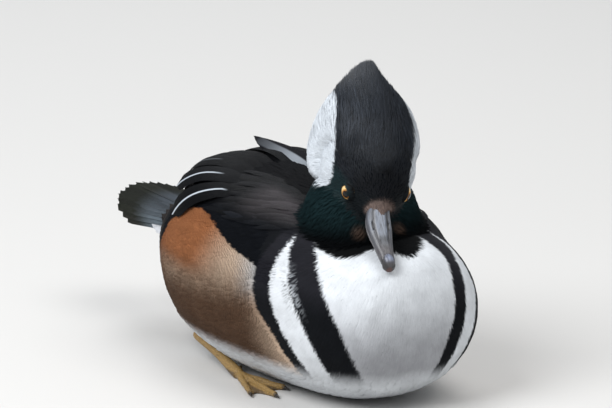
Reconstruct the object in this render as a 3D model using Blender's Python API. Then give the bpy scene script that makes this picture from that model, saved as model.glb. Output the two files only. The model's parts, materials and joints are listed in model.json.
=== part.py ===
"""A hooded merganser drake, life size, resting on its belly with the feet tucked under.

The bird faces -Y with its left side towards +X, and stands on the plane z = 0.
The head is bowed and turned a little to the bird's right, with the crest raised.
Sizes are in metres; MM turns the named sizes, which are in millimetres, into metres.
"""

import itertools
import math

import bmesh
import bpy
import numpy as np
from mathutils import Matrix, Vector

MM = 0.001
GAP = 0.35 * MM

# Body: from the front of the breast to the end of the rump
BREAST_Y = -109 * MM
RUMP_Y = 122 * MM
BODY_RINGS = 24
BODY_SIDES = 26

# Head: the point between the eyes, and how the head is carried
EYE_POINT = Vector((-5.3, -66, 118.4)) * MM
HEAD_PITCH = math.radians(34.5)
HEAD_YAW = math.radians(-21.2)
HEAD_ROLL = math.radians(7.4)
HEAD_RINGS = 15
HEAD_SIDES = 20

# Eyes and lids
EYE_RADIUS = 5.6 * MM
EYE_SIDE = 12.6 * MM
EYE_TURN = math.radians(68)
LID_RADIUS = 4.6 * MM
LID_THICK = 1.2 * MM
LID_FORWARD = 3.2 * MM

# Bill
BILL_LENGTH = 37.2 * MM
BILL_START = 14.2 * MM
BILL_DROOP = math.radians(3)
BILL_SIDES = 14
NOSTRIL_PLACE = 0.3
NOSTRIL_SIZE = Vector((2.3, 1.1, 0.8)) * MM
NOSTRIL_SIDE = 5.5 * MM

# Crest: a fan of feathers about the lateral axis through the skull
FAN_CENTRE_F = -10 * MM
FAN_MIDDLE = 0.42
FAN_INNER = 0.16
FAN_EDGE = 2.4
CREST_CORE = 0.45
CREST_BLADE = 0.55 * MM
CREST_LIFT = 1.1 * MM
CREST_QUICK = 0.62
CREST_OVERLAP = 0.47
RIM_FEATHERS = 14
RIM_THICKS = [1.2 * MM, 0.9 * MM, 0.55 * MM, 0.55 * MM]

# Folded wings
FOLD_POWER = 2.8
EDGE_TUCK = 4.5 * MM
PLATE_DEPTH = 9 * MM
PLATE_FRONT, PLATE_REAR = -66, 62
BLADE = 0.55 * MM
STAGGER = 0.9

# Tail: a fan of feathers about a point inside the rump
TAIL_CENTRE = Vector((0, 90, 62.5)) * MM
TAIL_PAIRS = 9
TAIL_SPREAD = math.radians(24)
TAIL_LENGTH = 97 * MM
TAIL_SHORTER = 26 * MM
TAIL_HALF_WIDTH = 5.8 * MM
TAIL_TOP = 3.4 * MM
TAIL_STEP = 0.95 * MM
TAIL_RISE = 0.045
TAIL_ROOT = 24 * MM

# Tail coverts over and under the fan: height and length of the middle one of each row
TAIL_COVERTS = [(5.6 * MM, 58 * MM), (-5.6 * MM, 60 * MM)]
COVERT_ROOT = 16 * MM
COVERT_TURN = math.radians(10)
COVERT_SHORTER = 4 * MM
COVERT_HALF_WIDTH = 4.6 * MM

# Feet
TOE_ROOT = Vector((43, 14, 2.6)) * MM
HEEL = Vector((40, 60, 15)) * MM
SHANK_RADII = (3.4 * MM, 2.9 * MM)
TOE_RADIUS = 2.3 * MM
TOE_TAPER = 0.62
CLAW_LENGTH = 4.2 * MM
CLAW_DROP = 0.8 * MM
CLAW_RADII = (1.1 * MM, 0.35 * MM)
WEB_HIGH = 1.3 * MM
LIMB_SIDES = 6


def clear_scene():
    for old in list(bpy.data.objects):
        bpy.data.objects.remove(old)


def material(name, colour, roughness, metallic=0.0):
    made = bpy.data.materials.new(name)
    made.use_nodes = True
    shader = made.node_tree.nodes["Principled BSDF"]
    shader.inputs["Base Color"].default_value = (*colour, 1)
    shader.inputs["Roughness"].default_value = roughness
    shader.inputs["Metallic"].default_value = metallic
    made.diffuse_color = (*colour, 1)
    return made


def through(table, at):
    """Smooth values between the rows of a table, whose first column is the place along it."""
    rows = np.array(table, float)
    place, values = rows[:, 0], rows[:, 1:]
    slopes = np.gradient(values, place, axis=0)
    index = int(np.clip(np.searchsorted(place, at) - 1, 0, len(place) - 2))
    span = place[index + 1] - place[index]
    t = np.clip((at - place[index]) / span, 0, 1)
    rise = values[index + 1] - values[index]
    return (
        values[index]
        + t * t * (3 - 2 * t) * rise
        + span * (t * (1 - t) ** 2 * slopes[index] - t * t * (1 - t) * slopes[index + 1])
    )


def mesh_object(name, points, faces, look=None):
    mesh = bpy.data.meshes.new(name)
    mesh.from_pydata([tuple(p) for p in points], [], faces)
    mesh.validate()
    made = bpy.data.objects.new(name, mesh)
    bpy.context.scene.collection.objects.link(made)
    if look is not None:
        mesh.materials.append(look)
    return made


def face_outwards(thing):
    work = bmesh.new()
    work.from_mesh(thing.data)
    bmesh.ops.remove_doubles(work, verts=work.verts, dist=1e-6)
    bmesh.ops.recalc_face_normals(work, faces=work.faces)
    if work.calc_volume(signed=True) < 0:
        bmesh.ops.reverse_faces(work, faces=work.faces)
    work.to_mesh(thing.data)
    work.free()
    return thing


def loft(name, rings, look=None):
    """A closed skin over rings of equal count, its two end rings filled to their middles."""
    count = len(rings[0])
    points = [p for ring in rings for p in ring]
    faces = []
    for r in range(len(rings) - 1):
        for i in range(count):
            j = (i + 1) % count
            a, b = r * count + i, r * count + j
            c, d = a + count, b + count
            faces.append((a, b, d, c))
    for ring, start in ((rings[0], 0), (rings[-1], (len(rings) - 1) * count)):
        middle = sum((Vector(p) for p in ring), Vector()) / count
        points.append(middle)
        for i in range(count):
            faces.append((start + i, start + (i + 1) % count, len(points) - 1))
    return face_outwards(mesh_object(name, points, faces, look))


def vane(middles, normals, halves, thicks):
    """One feather's blade: at each station its middle, the way it faces, half width and thickness."""
    points, faces = [], []
    last = len(middles) - 1
    for i, middle in enumerate(middles):
        along = (middles[min(i + 1, last)] - middles[max(i - 1, 0)]).normalized()
        side = along.cross(normals[i]).normalized() * halves[i]
        face = side.cross(along).normalized() * thicks[i] / 2
        points += [middle - side - face, middle + side - face]
        points += [middle + side + face, middle - side + face]
    for i in range(last):
        a, b = 4 * i, 4 * i + 4
        faces += [(a, a + 1, b + 1), (a, b + 1, b), (a + 3, b + 2, a + 2), (a + 3, b + 3, b + 2)]
        faces += [(a + 1, a + 2, b + 2), (a + 1, b + 2, b + 1), (a + 3, a, b), (a + 3, b, b + 3)]
    end = 4 * last
    faces += [(0, 2, 1), (0, 3, 2), (end, end + 1, end + 2), (end, end + 2, end + 3)]
    return face_outwards(mesh_object("vane", points, faces))


def rounded(angle, power):
    """A point on a superellipse of unit half sizes; power 2 is a circle."""
    c, s = math.cos(angle), math.sin(angle)
    return (
        math.copysign(abs(c) ** (2 / power), c),
        math.copysign(abs(s) ** (2 / power), s),
    )


def section(half_width, low, high, widest, sides, over=2.0, under=2.0):
    """(across, up) points round a section whose upper and lower halves differ."""
    found = []
    for i in range(sides):
        angle = 2 * math.pi * (i + 0.5) / sides
        power = over if math.sin(angle) > 0 else under
        across, up = rounded(angle, power)
        reach = high - widest if up > 0 else widest - low
        found.append((half_width * across, widest + reach * up))
    return found


def boolean(thing, others, operation, solver="MANIFOLD"):
    """Joins the others to the thing, or cuts them from it, and removes them."""
    group = bpy.data.collections.new(thing.name + "_tools")
    bpy.context.scene.collection.children.link(group)
    for other in others:
        for home in list(other.users_collection):
            home.objects.unlink(other)
        group.objects.link(other)
    modifier = thing.modifiers.new("join", "BOOLEAN")
    modifier.operation = operation
    modifier.solver = solver
    modifier.operand_type = "COLLECTION"
    modifier.collection = group
    graph = bpy.context.evaluated_depsgraph_get()
    result = bpy.data.meshes.new_from_object(thing.evaluated_get(graph))
    thing.modifiers.clear()
    thing.data = result
    for other in others:
        bpy.data.objects.remove(other)
    bpy.data.collections.remove(group)
    return keep_largest(thing)


def keep_largest(thing):
    """Keeps the closed surface that holds most, so that scraps and sealed hollows go."""
    work = bmesh.new()
    work.from_mesh(thing.data)
    bmesh.ops.triangulate(work, faces=work.faces)
    left = set(work.faces)
    pieces = []
    while left:
        queue = [left.pop()]
        piece = list(queue)
        while queue:
            for edge in queue.pop().edges:
                for face in edge.link_faces:
                    if face in left:
                        left.discard(face)
                        queue.append(face)
                        piece.append(face)
        volume = sum(f.verts[0].co.dot(f.verts[1].co.cross(f.verts[2].co)) for f in piece)
        pieces.append((volume, piece))
    pieces.sort(key=lambda entry: entry[0])
    for _, piece in pieces[:-1]:
        bmesh.ops.delete(work, geom=piece, context="FACES")
    work.to_mesh(thing.data)
    work.free()
    return thing


def grown(thing, by=GAP):
    """A copy of the thing with its surface moved outwards, to cut a neighbour with."""
    copy = thing.copy()
    copy.data = thing.data.copy()
    bpy.context.scene.collection.objects.link(copy)
    normals = [v.normal.copy() for v in copy.data.vertices]
    for vertex, normal in zip(copy.data.vertices, normals):
        vertex.co += normal * by
    return copy


def block(low, high):
    """A box between two corners, used as a cutter."""
    points = list(itertools.product(*zip(low, high)))
    faces = [(0, 1, 3, 2), (4, 6, 7, 5), (0, 4, 5, 1), (2, 3, 7, 6), (0, 2, 6, 4), (1, 5, 7, 3)]
    return face_outwards(mesh_object("block", points, faces))


def floor_cutter():
    return block((-0.2, -0.3, -0.1), (0.2, 0.3, 0))


def shade(thing, degrees=40):
    thing.data.shade_smooth()
    thing.data.set_sharp_from_angle(angle=math.radians(degrees))
    return thing


# The torso from the breast to the rump: place, half width, low, high, widest, squareness above
TORSO = [
    (0.00, 0, 56, 56, 56, 2.0),
    (0.10, 34, 27, 82, 54, 2.0),
    (0.20, 49, 9, 93, 52, 2.1),
    (0.30, 57.5, 0, 98, 52, 2.3),
    (0.40, 61.5, -3, 104, 53, 2.6),
    (0.50, 63, -4, 110.5, 54, 2.8),
    (0.60, 61.5, -3, 112, 55, 2.8),
    (0.70, 54.5, 2, 103, 57, 2.5),
    (0.80, 42, 14, 90, 58, 2.2),
    (0.90, 28, 34, 77, 60, 2.1),
    (1.00, 0, 62, 62, 62, 2.0),
]
TORSO_UNDER = 2.2


def along_body(place):
    return BREAST_Y + (RUMP_Y - BREAST_Y) * (1 - math.cos(math.pi * place)) / 2


def torso_ring(place):
    *sizes, over = through(TORSO, place)
    half_width, low, high, widest = (size * MM for size in sizes)
    y = along_body(place)
    flat = section(half_width, low, high, widest, BODY_SIDES, over, TORSO_UNDER)
    return [Vector((x, y, z)) for x, z in flat]


def build_torso(look):
    rings = [torso_ring((r + 0.5) / BODY_RINGS) for r in range(BODY_RINGS)]
    torso = loft("torso", rings, look)
    return shade(boolean(torso, [floor_cutter()], "DIFFERENCE"))


# The head frame: forward along the bill, left, and up through the crown
def head_frame():
    turn = Matrix.Rotation(HEAD_YAW, 4, "Z")
    pitch = Matrix.Rotation(HEAD_PITCH, 4, "X")
    roll = Matrix.Rotation(HEAD_ROLL, 4, "Y")
    axes = Matrix(((0, 1, 0, 0), (-1, 0, 0, 0), (0, 0, 1, 0), (0, 0, 0, 1)))
    return Matrix.Translation(EYE_POINT) @ turn @ pitch @ roll @ axes


def in_head(forward, left, up):
    return head_frame() @ Vector((forward, left, up))


# The head under the crest, from the back of the skull to the bill: place, half width, low, high, widest
HEAD = [
    (-44, 0, -5, -5, -5),
    (-41, 14, -14, 9, -5),
    (-34, 22, -20, 18, -5),
    (-24, 26, -24, 23, -5),
    (-14, 25.5, -25, 24, -5),
    (-6, 22, -24, 22, -4),
    (0, 18.6, -21, 18.5, -3),
    (5, 15.2, -17.4, 14.2, -2.5),
    (10, 11.2, -12.4, 9.2, -2),
    (14.2, 8.2, -8.6, 5.6, -2),
]


def build_head(look, eyes):
    first, last = HEAD[0][0], HEAD[-1][0]
    rings = []
    for r in range(HEAD_RINGS):
        share = (r + 0.5) / (HEAD_RINGS - 0.5)
        forward = first + (last - first) * (1 - math.cos(math.pi / 2 * share)) ** 0.72
        half_width, low, high, widest = through(HEAD, forward)
        flat = section(half_width, low, high, widest, HEAD_SIDES, 2.2, 2.2)
        rings.append([in_head(forward * MM, across * MM, up * MM) for across, up in flat])
    head = loft("head", rings, look)
    head = boolean(head, [eye_lids(side) for side in (-1, 1)], "UNION")
    return shade(boolean(head, [grown(eye) for eye in eyes], "DIFFERENCE"))


def eye_place(side):
    """The middle of the eyeball and the way that it looks, in the model's frame."""
    centre = in_head(0, side * EYE_SIDE, 0.5 * MM)
    outer = in_head(math.cos(EYE_TURN), side * (EYE_SIDE + math.sin(EYE_TURN)), 0.12)
    return centre, (outer - centre).normalized()


def ball(name, centre, radius, look=None, segments=14, rings=10):
    mesh = bpy.data.meshes.new(name)
    work = bmesh.new()
    bmesh.ops.create_uvsphere(work, u_segments=segments, v_segments=rings, radius=radius)
    work.to_mesh(mesh)
    work.free()
    made = bpy.data.objects.new(name, mesh)
    bpy.context.scene.collection.objects.link(made)
    mesh.transform(Matrix.Translation(centre))
    if look is not None:
        mesh.materials.append(look)
    return made


def build_eye(name, side, look):
    centre, _ = eye_place(side)
    return shade(ball(name, centre, EYE_RADIUS, look))


def ring_solid(name, centre, axis, radius, thick, around=18, sides=6):
    """A torus about an axis, for the rim of an eyelid."""
    turn = Vector((0, 0, 1)).rotation_difference(axis).to_matrix()
    points, faces = [], []
    for i in range(around):
        a = 2 * math.pi * i / around
        for j in range(sides):
            b = 2 * math.pi * j / sides
            out = radius + thick * math.cos(b)
            place = Vector((out * math.cos(a), out * math.sin(a), thick * math.sin(b)))
            points.append(centre + turn @ place)
    for i in range(around):
        for j in range(sides):
            k, m = (i + 1) % around, (j + 1) % sides
            faces.append((i * sides + j, k * sides + j, k * sides + m, i * sides + m))
    return face_outwards(mesh_object(name, points, faces))


def eye_lids(side):
    centre, axis = eye_place(side)
    return ring_solid("lid", centre + axis * LID_FORWARD, axis, LID_RADIUS, LID_THICK)


# The bill, from its base: place, half width, top, edge of the jaw
UPPER_BILL = [
    (0.00, 7.6, 5.2, -2.2),
    (0.15, 7.2, 4.0, -2.4),
    (0.35, 6.0, 2.3, -2.7),
    (0.60, 4.9, 1.0, -3.1),
    (0.80, 4.4, 0.4, -3.5),
    (0.90, 4.1, 0.2, -4.4),
    (0.97, 2.9, -1.2, -5.8),
    (1.00, 0.9, -3.6, -5.9),
]
LOWER_BILL = [
    (0.00, 6.9, -2.7, -7.8),
    (0.35, 5.3, -3.2, -6.9),
    (0.70, 4.0, -3.7, -6.1),
    (0.86, 3.3, -4.3, -5.9),
    (0.90, 2.4, -4.9, -5.8),
]


def bill_part(name, table, look, rings, over, under):
    made = []
    last = table[-1][0]
    for r in range(rings):
        place = last * (r / (rings - 1)) ** 0.9
        half_width, high, low = through(table, place) * MM
        widest = low + (high - low) * (0.22 if name == "bill_upper" else 0.8)
        forward = BILL_START + GAP + BILL_LENGTH * place
        sink = BILL_LENGTH * place * math.sin(BILL_DROOP)
        flat = section(half_width, low, high, widest, BILL_SIDES, over, under)
        made.append([in_head(forward, across, up - sink) for across, up in flat])
    return shade(loft(name, made, look))


def nostril(side):
    """A long pit in the side of the upper bill."""
    pit = ball("nostril", Vector(), 1.0, None, 8, 5)
    place = BILL_START + NOSTRIL_PLACE * BILL_LENGTH
    pit.data.transform(Matrix.Diagonal((*NOSTRIL_SIZE, 1)))
    pit.data.transform(head_frame() @ Matrix.Translation((place, side * NOSTRIL_SIDE, 0)))
    return pit


def build_bill(look):
    upper = bill_part("bill_upper", UPPER_BILL, look, 15, 2.3, 3.2)
    lower = bill_part("bill_lower", LOWER_BILL, look, 11, 4.0, 2.2)
    upper = shade(boolean(upper, [nostril(side) for side in (-1, 1)], "DIFFERENCE"))
    return upper, lower


# The crest's rim, about the skull: angle back from the crown in degrees, reach, half thickness
CREST = [
    (-16, 25, 12),
    (0, 29, 15),
    (20, 38, 18.5),
    (40, 50, 21),
    (57, 64.5, 23),
    (75, 63, 26),
    (95, 60, 28),
    (115, 55, 27),
    (136, 44, 20),
]
# Tiers on its sides: where the tips lie (0 is the rim, 90 the thickest), and how many feathers
CREST_TIERS = [(22, 12), (42, 11), (60, 9)]
CREST_ROOT_TURN = 94


def fan_point(angle, reach, across):
    a = math.radians(angle)
    return in_head(FAN_CENTRE_F - reach * math.sin(a), across, reach * math.cos(a))


def crest_loop(angle, share=1.0, sides=20):
    reach, thick = through(CREST, angle) * MM
    found = []
    middle = FAN_MIDDLE * reach
    for i in range(sides):
        turn = 2 * math.pi * i / sides
        c, s = math.cos(turn), math.sin(turn)
        out = middle + ((reach - middle) * share if c > 0 else FAN_INNER * reach) * c
        across = thick * (0.76 + 0.24 * share) * math.copysign(abs(s) ** (FAN_EDGE if c > 0 else 1), s)
        found.append(fan_point(angle, out, across))
    return found


def crest_surface(angle, turn, share=1.0, lift=0.0):
    """A point on the crest's left side: turn is 0 at the rim and 90 at the thickest."""
    reach, thick = through(CREST, angle) * MM
    a = math.radians(turn)
    middle = FAN_MIDDLE * reach
    out = middle + (reach - middle) * math.cos(a) + lift * math.cos(a)
    across = thick * share * math.sin(a) ** FAN_EDGE + lift * math.sin(a)
    return out, across


def crest_feather(angle, tip, side, lift, spread):
    """A feather from inside the crest's core out over one side, to the turn where its tip lies."""
    middles, normals, halves = [], [], []
    for place, width in ((0, 1), (0.35, 1), (0.76, 0.85), (1, 0.25)):
        turn = CREST_ROOT_TURN + (tip - CREST_ROOT_TURN) * place
        share = CREST_QUICK + (1 - CREST_QUICK) * min(1, place / 0.35)
        out, across = crest_surface(angle, turn, share, lift)
        next_out, next_across = crest_surface(angle, turn - 3, share, lift)
        here = fan_point(angle, out, side * across)
        ahead = fan_point(angle, next_out, side * next_across) - here
        sideways = fan_point(angle + 3, out, side * across) - here
        normals.append(ahead.cross(sideways).normalized())
        middles.append(here)
        halves.append(CREST_OVERLAP * spread * out * width)
    return vane(middles, normals, halves, [CREST_BLADE] * 4)


def rim_feather(angle, spread):
    reach = through(CREST, angle)[0] * MM
    left = fan_point(angle, 0, 1) - fan_point(angle, 0, 0)
    places = [(0.5, 1), (0.72, 1), (0.9, 0.85), (1, 0.25)]
    middles = [fan_point(angle, reach * place, 0) for place, _ in places]
    halves = [CREST_OVERLAP * spread * reach * place * width for place, width in places]
    return vane(middles, [left] * 4, halves, RIM_THICKS)


def build_crest(look, head):
    first, last = CREST[0][0], CREST[-1][0]
    rings = [crest_loop(a, CREST_CORE, 14) for a in np.linspace(first, last, 12)]
    crest = loft("crest", rings, look)
    step = (last - first) / RIM_FEATHERS
    feathers = [rim_feather(first + step * (i + 0.5), math.radians(step)) for i in range(RIM_FEATHERS)]
    for tier, (tip, count) in enumerate(CREST_TIERS):
        step = (last - first) / count
        lift = CREST_LIFT * (tier + 0.5)
        for side in (-1, 1):
            for i in range(count):
                angle = first + step * (i + 0.5)
                feathers.append(crest_feather(angle, tip, side, lift, math.radians(step)))
    crest = boolean(crest, feathers, "UNION")
    return shade(boolean(crest, [grown(head)], "DIFFERENCE"))


# The neck, from inside the breast up into the head: centre x, y, z, half width, half depth
NECK = [
    (0.0, 0, -49, 80, 38, 31),
    (0.3, -1, -49, 93, 36, 29),
    (0.6, -2, -46, 104, 34.5, 25.5),
    (0.85, -1, -43, 117, 29, 22),
    (1.0, 0, -41, 128, 18, 15),
]
NECK_RINGS, NECK_SIDES = 9, 24


def build_neck(look, cutters):
    rings = []
    for r in range(NECK_RINGS):
        x, y, z, across, deep = through(NECK, r / (NECK_RINGS - 1)) * MM
        ring = []
        for i in range(NECK_SIDES):
            c, s = rounded(2 * math.pi * i / NECK_SIDES, 2)
            ring.append(Vector((x + across * c, y + deep * s, z)))
        rings.append(ring)
    neck = loft("neck", rings, look)
    return shade(boolean(neck, cutters, "DIFFERENCE"))


# The folded wings and scapulars: y, half width, high, widest
WING_FOLD = [
    (-70, 48, 94, 56),
    (-52, 55, 102, 57),
    (-30, 59, 107, 58),
    (0, 61, 110.5, 60),
    (30, 60.5, 113, 62),
    (60, 55.5, 115, 64),
    (80, 47.5, 110.5, 64),
    (100, 34, 98, 62),
    (120, 25, 85, 62),
    (140, 19, 75, 62),
]
# Where the flank feathers come up over the folded wing: y, turn in degrees
WING_EDGE = [(-70, 80), (-38, 75), (-21, 66), (0, 56), (18, 50), (45, 54), (70, 65), (90, 74)]
# Rows of feathers on a wing, from below upwards: how many, then y, turn and lift of the root of the
# first and last, then y, turn and lift of their tips, and half the width of one
WING_ROWS = {
    "primaries": (4, (44, 10, -3), (40, 30, -3), (126, 20, -2.4), (108, 34, -0.8), 5.0),
    "tertials": (6, (30, 8, -3), (20, 52, -3), (98, 22, 0.5), (84, 70, 0.5), 6.2),
    "coverts": (4, (-8, 50, -3), (-44, 64, -3), (34, 52, 2.3), (-10, 61, 2.3), 5.6),
    "rear_scapulars": (5, (-16, 7.5, -3), (-22, 38, -3), (44, 7.5, 2.3), (36, 40, 2.3), 6.2),
    "front_scapulars": (5, (-50, 18, -3), (-54, 58, -3), (2, 7, 4.1), (-12, 45, 4.1), 6.4),
}
FEATHER_WIDTHS = [(0, 0.6), (0.4, 1), (0.84, 0.85), (1, 0.22)]
# One tertial of the far wing stands up from the back, its tip curled: where it runs, half its width
# there, and the way that it faces
RAISED_PATH = [
    (11, 16, 109, 7.2), (10, 28, 111.5, 7), (9.4, 38, 113.8, 6.2), (8.4, 47, 115.3, 5),
    (7, 59, 116.8, 3.5), (6, 67, 118, 2), (5.4, 73, 119.6, 0.6),
]
RAISED_FACE = Vector((-0.5, -0.42, 0.76))


def fold_point(y, turn, lift=0.0):
    """A point on the folded wing, turn 0 on the back and 90 at the widest, and the way out there."""
    half_width, high, widest = through(WING_FOLD, y)
    across, up = math.sin(math.radians(turn)), math.cos(math.radians(turn))
    size = (abs(across) ** FOLD_POWER + abs(up) ** FOLD_POWER) ** (-1 / FOLD_POWER)
    point = Vector((half_width * across * size, y, widest + (high - widest) * up * size)) * MM
    steep = math.copysign(abs(up) ** (FOLD_POWER - 1), up)
    out = Vector((across ** (FOLD_POWER - 1) / half_width, 0, steep / (high - widest))).normalized()
    return point + out * lift * MM, out


def wing_feather(side, root, tip, half):
    """A feather along the folded wing, its root inside the plate."""
    middles, normals, halves = [], [], []
    for place, width in FEATHER_WIDTHS:
        y, turn = (a + (b - a) * place for a, b in zip(root[:2], tip[:2]))
        lift = root[2] + (tip[2] - root[2]) * min(1, place / 0.3)
        point, out = fold_point(y, turn, lift)
        middles.append(Vector((side * point.x, point.y, point.z)))
        normals.append(Vector((side * out.x, out.y, out.z)))
        halves.append(half * width * MM)
    return vane(middles, normals, halves, [BLADE] * len(middles))


def wing_row(side, count, first_root, last_root, first_tip, last_tip, half):
    made = []
    for i in range(count):
        share = i / (count - 1)
        root = [a + (b - a) * share for a, b in zip(first_root, last_root)]
        tip = [a + (b - a) * share for a, b in zip(first_tip, last_tip)]
        tip[2] += STAGGER * (i % 2)
        made.append(wing_feather(side, root, tip, half))
    return made


def raised_tertial():
    middles = [Vector(place[:3]) * MM for place in RAISED_PATH]
    halves = [place[3] * MM for place in RAISED_PATH]
    return vane(middles, [RAISED_FACE] * len(middles), halves, [BLADE] * len(middles))


def wing_plate(name, side, look):
    rings = []
    for y in np.linspace(PLATE_FRONT, PLATE_REAR, 13):
        edge = float(through(WING_EDGE, y)[0])
        upper = [(turn, 0) for turn in np.linspace(2, edge - 7, 7)]
        tuck = [(edge - 2, -0.25), (edge + 3, -0.75), (edge + 8, -1)]
        outer = [fold_point(y, turn, share * EDGE_TUCK / MM)[0] for turn, share in upper + tuck]
        inner = [fold_point(y, turn, -PLATE_DEPTH / MM)[0] for turn in np.linspace(edge + 8, 2, 5)]
        rings.append([Vector((side * p.x, p.y, p.z)) for p in outer + inner])
    return loft(name, rings, look)


def build_wing(name, side, look, cutters):
    wing = wing_plate(name, side, look)
    feathers = []
    for sizes in WING_ROWS.values():
        feathers += wing_row(side, *sizes)
    if side > 0:
        feathers.append(raised_tertial())
    wing = boolean(wing, feathers, "UNION")
    return shade(boolean(wing, cutters, "DIFFERENCE"))


def tail_feather(turn, lift, start, length, half):
    """A feather of the tail's fan: turn is its angle from the middle, lift its height in the stack."""
    middles, halves = [], []
    for place, width in ((0, 0.55), (0.4, 0.9), (0.85, 1), (1, 0.35)):
        out = start + (length - start) * place
        above = lift + out * TAIL_RISE
        middles.append(TAIL_CENTRE + Vector((out * math.sin(turn), out * math.cos(turn), above)))
        halves.append(half * width)
    return vane(middles, [Vector((0, 0, 1))] * 4, halves, [BLADE, BLADE, BLADE, 0.8 * BLADE])


def tail_core(look):
    """The solid that carries the tail feathers, from inside the rump to under the coverts."""
    rings = []
    for y, half, low, high in ((4, 14, -7, 9), (20, 17, -5.5, 6), (44, 18, -4.2, 4.5)):
        flat = section(half * MM, low * MM, high * MM, 0, 12, 2.4, 2.4)
        rings.append([TAIL_CENTRE + Vector((x, y * MM, z)) for x, z in flat])
    return loft("tail", rings, look)


def build_tail(look, cutters):
    feathers = []
    for side in (-1, 1):
        for i in range(TAIL_PAIRS):
            turn = side * TAIL_SPREAD * (i + 0.5) / TAIL_PAIRS
            lift = TAIL_TOP - TAIL_STEP * (i + (0.5 if side > 0 else 0))
            length = TAIL_LENGTH - TAIL_SHORTER * (i / (TAIL_PAIRS - 1)) ** 2
            feathers.append(tail_feather(turn, lift, TAIL_ROOT, length, TAIL_HALF_WIDTH))
    for lift, longest in TAIL_COVERTS:
        for i in range(-2, 3):
            length = longest - COVERT_SHORTER * abs(i)
            feathers.append(tail_feather(COVERT_TURN * i, lift, COVERT_ROOT, length, COVERT_HALF_WIDTH))
    tail = boolean(tail_core(look), feathers, "UNION")
    return shade(boolean(tail, cutters, "DIFFERENCE"))


# Toes of the left foot, from the inner one out: where each tip lies, how thick the toe is beside
# the middle one, and how many joints it has
TOES = [((35, -20, 2), 0.9, 2), ((47, -30, 2), 1.0, 3), ((57, -20, 2), 0.9, 4)]
HIND_TOE = ((34, 26, 2.4), 0.6, 1)


def limb(side, start, end, thick, thin, joints=0):
    """A tapered round rod between two places, with the swellings of a toe's joints."""
    rings = []
    steps = 2 * joints + 2
    along = (end - start).normalized()
    across = along.cross(Vector((0, 0, 1))).normalized()
    above = across.cross(along).normalized()
    for r in range(steps):
        place = r / (steps - 1)
        size = thick + (thin - thick) * place
        if joints:
            size *= 1 + 0.12 * math.cos(2 * math.pi * joints * place)
        middle = start.lerp(end, place)
        ring = []
        for i in range(LIMB_SIDES):
            c, s = rounded(2 * math.pi * i / LIMB_SIDES, 2)
            point = middle + (across * c + above * s) * size
            ring.append(Vector((side * point.x, point.y, point.z)))
        rings.append(ring)
    return loft("limb", rings)


def web(side):
    """The skin between the toes, its edges drawn in between their tips."""
    tips = [Vector(toe[0]) * MM for toe in TOES]
    edge = []
    for a, b in zip(tips, tips[1:]):
        for place in (0, 0.25, 0.5, 0.75):
            drawn = 0.25 * math.sin(math.pi * place)
            edge.append(a.lerp(b, place).lerp(TOE_ROOT, drawn + 0.06))
    edge.append(tips[-1].lerp(TOE_ROOT, 0.06))
    outline = [TOE_ROOT + Vector((6, 0, 0)) * MM, TOE_ROOT - Vector((6, 0, 0)) * MM] + edge
    count = len(outline)
    points = [Vector((side * p.x, p.y, z)) for z in (-1 * MM, WEB_HIGH) for p in outline]
    faces = [tuple(range(count)), tuple(range(2 * count - 1, count - 1, -1))]
    faces += [(i, (i + 1) % count, count + (i + 1) % count, count + i) for i in range(count)]
    return face_outwards(mesh_object("web", points, faces))


def build_leg(name, side, look, torso):
    """A shank and a webbed foot, folded under the flank with the sole flat."""
    leg = limb(side, HEEL, TOE_ROOT, *SHANK_RADII)
    leg.name = name
    leg.data.materials.append(look)
    pieces = [web(side)]
    for tip, width, joints in (*TOES, HIND_TOE):
        tip = Vector(tip) * MM
        radius = TOE_RADIUS * width
        pieces.append(limb(side, TOE_ROOT, tip, radius, TOE_TAPER * radius, joints))
        claw = tip + (tip - TOE_ROOT).normalized() * CLAW_LENGTH - Vector((0, 0, CLAW_DROP))
        pieces.append(limb(side, tip, claw, *CLAW_RADII))
    leg = boolean(leg, pieces, "UNION")
    leg = boolean(leg, [floor_cutter()], "DIFFERENCE")
    return shade(boolean(leg, [grown(torso)], "DIFFERENCE"))


def build():
    clear_scene()
    dark = material("black_plumage", (0.012, 0.012, 0.015), 0.55)
    white = material("white_plumage", (0.8, 0.8, 0.78), 0.7)
    wing_look = material("wing_plumage", (0.02, 0.017, 0.016), 0.5)
    tail_look = material("tail_plumage", (0.06, 0.055, 0.05), 0.6)
    horn = material("bill_horn", (0.11, 0.11, 0.12), 0.35)
    iris = material("eye_amber", (0.75, 0.42, 0.06), 0.1)
    foot_look = material("foot_skin", (0.3, 0.22, 0.1), 0.5)

    eyes = [build_eye("eye_right", -1, iris), build_eye("eye_left", 1, iris)]
    head = build_head(dark, eyes)
    bills = build_bill(horn)
    crest = build_crest(dark, head)
    torso = build_torso(white)
    neck = build_neck(dark, [grown(near) for near in (torso, head, crest, *bills)])
    for name, side in (("wing_right", -1), ("wing_left", 1)):
        build_wing(name, side, wing_look, [grown(near) for near in (torso, head, neck, crest)])
    build_tail(tail_look, [grown(torso)])
    build_leg("leg_right", -1, foot_look, torso)
    build_leg("leg_left", 1, foot_look, torso)


build()
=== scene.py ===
import json
import math

import bpy
import numpy as np
from mathutils import Matrix, Vector
from mathutils.bvhtree import BVHTree
from mathutils.kdtree import KDTree

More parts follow.
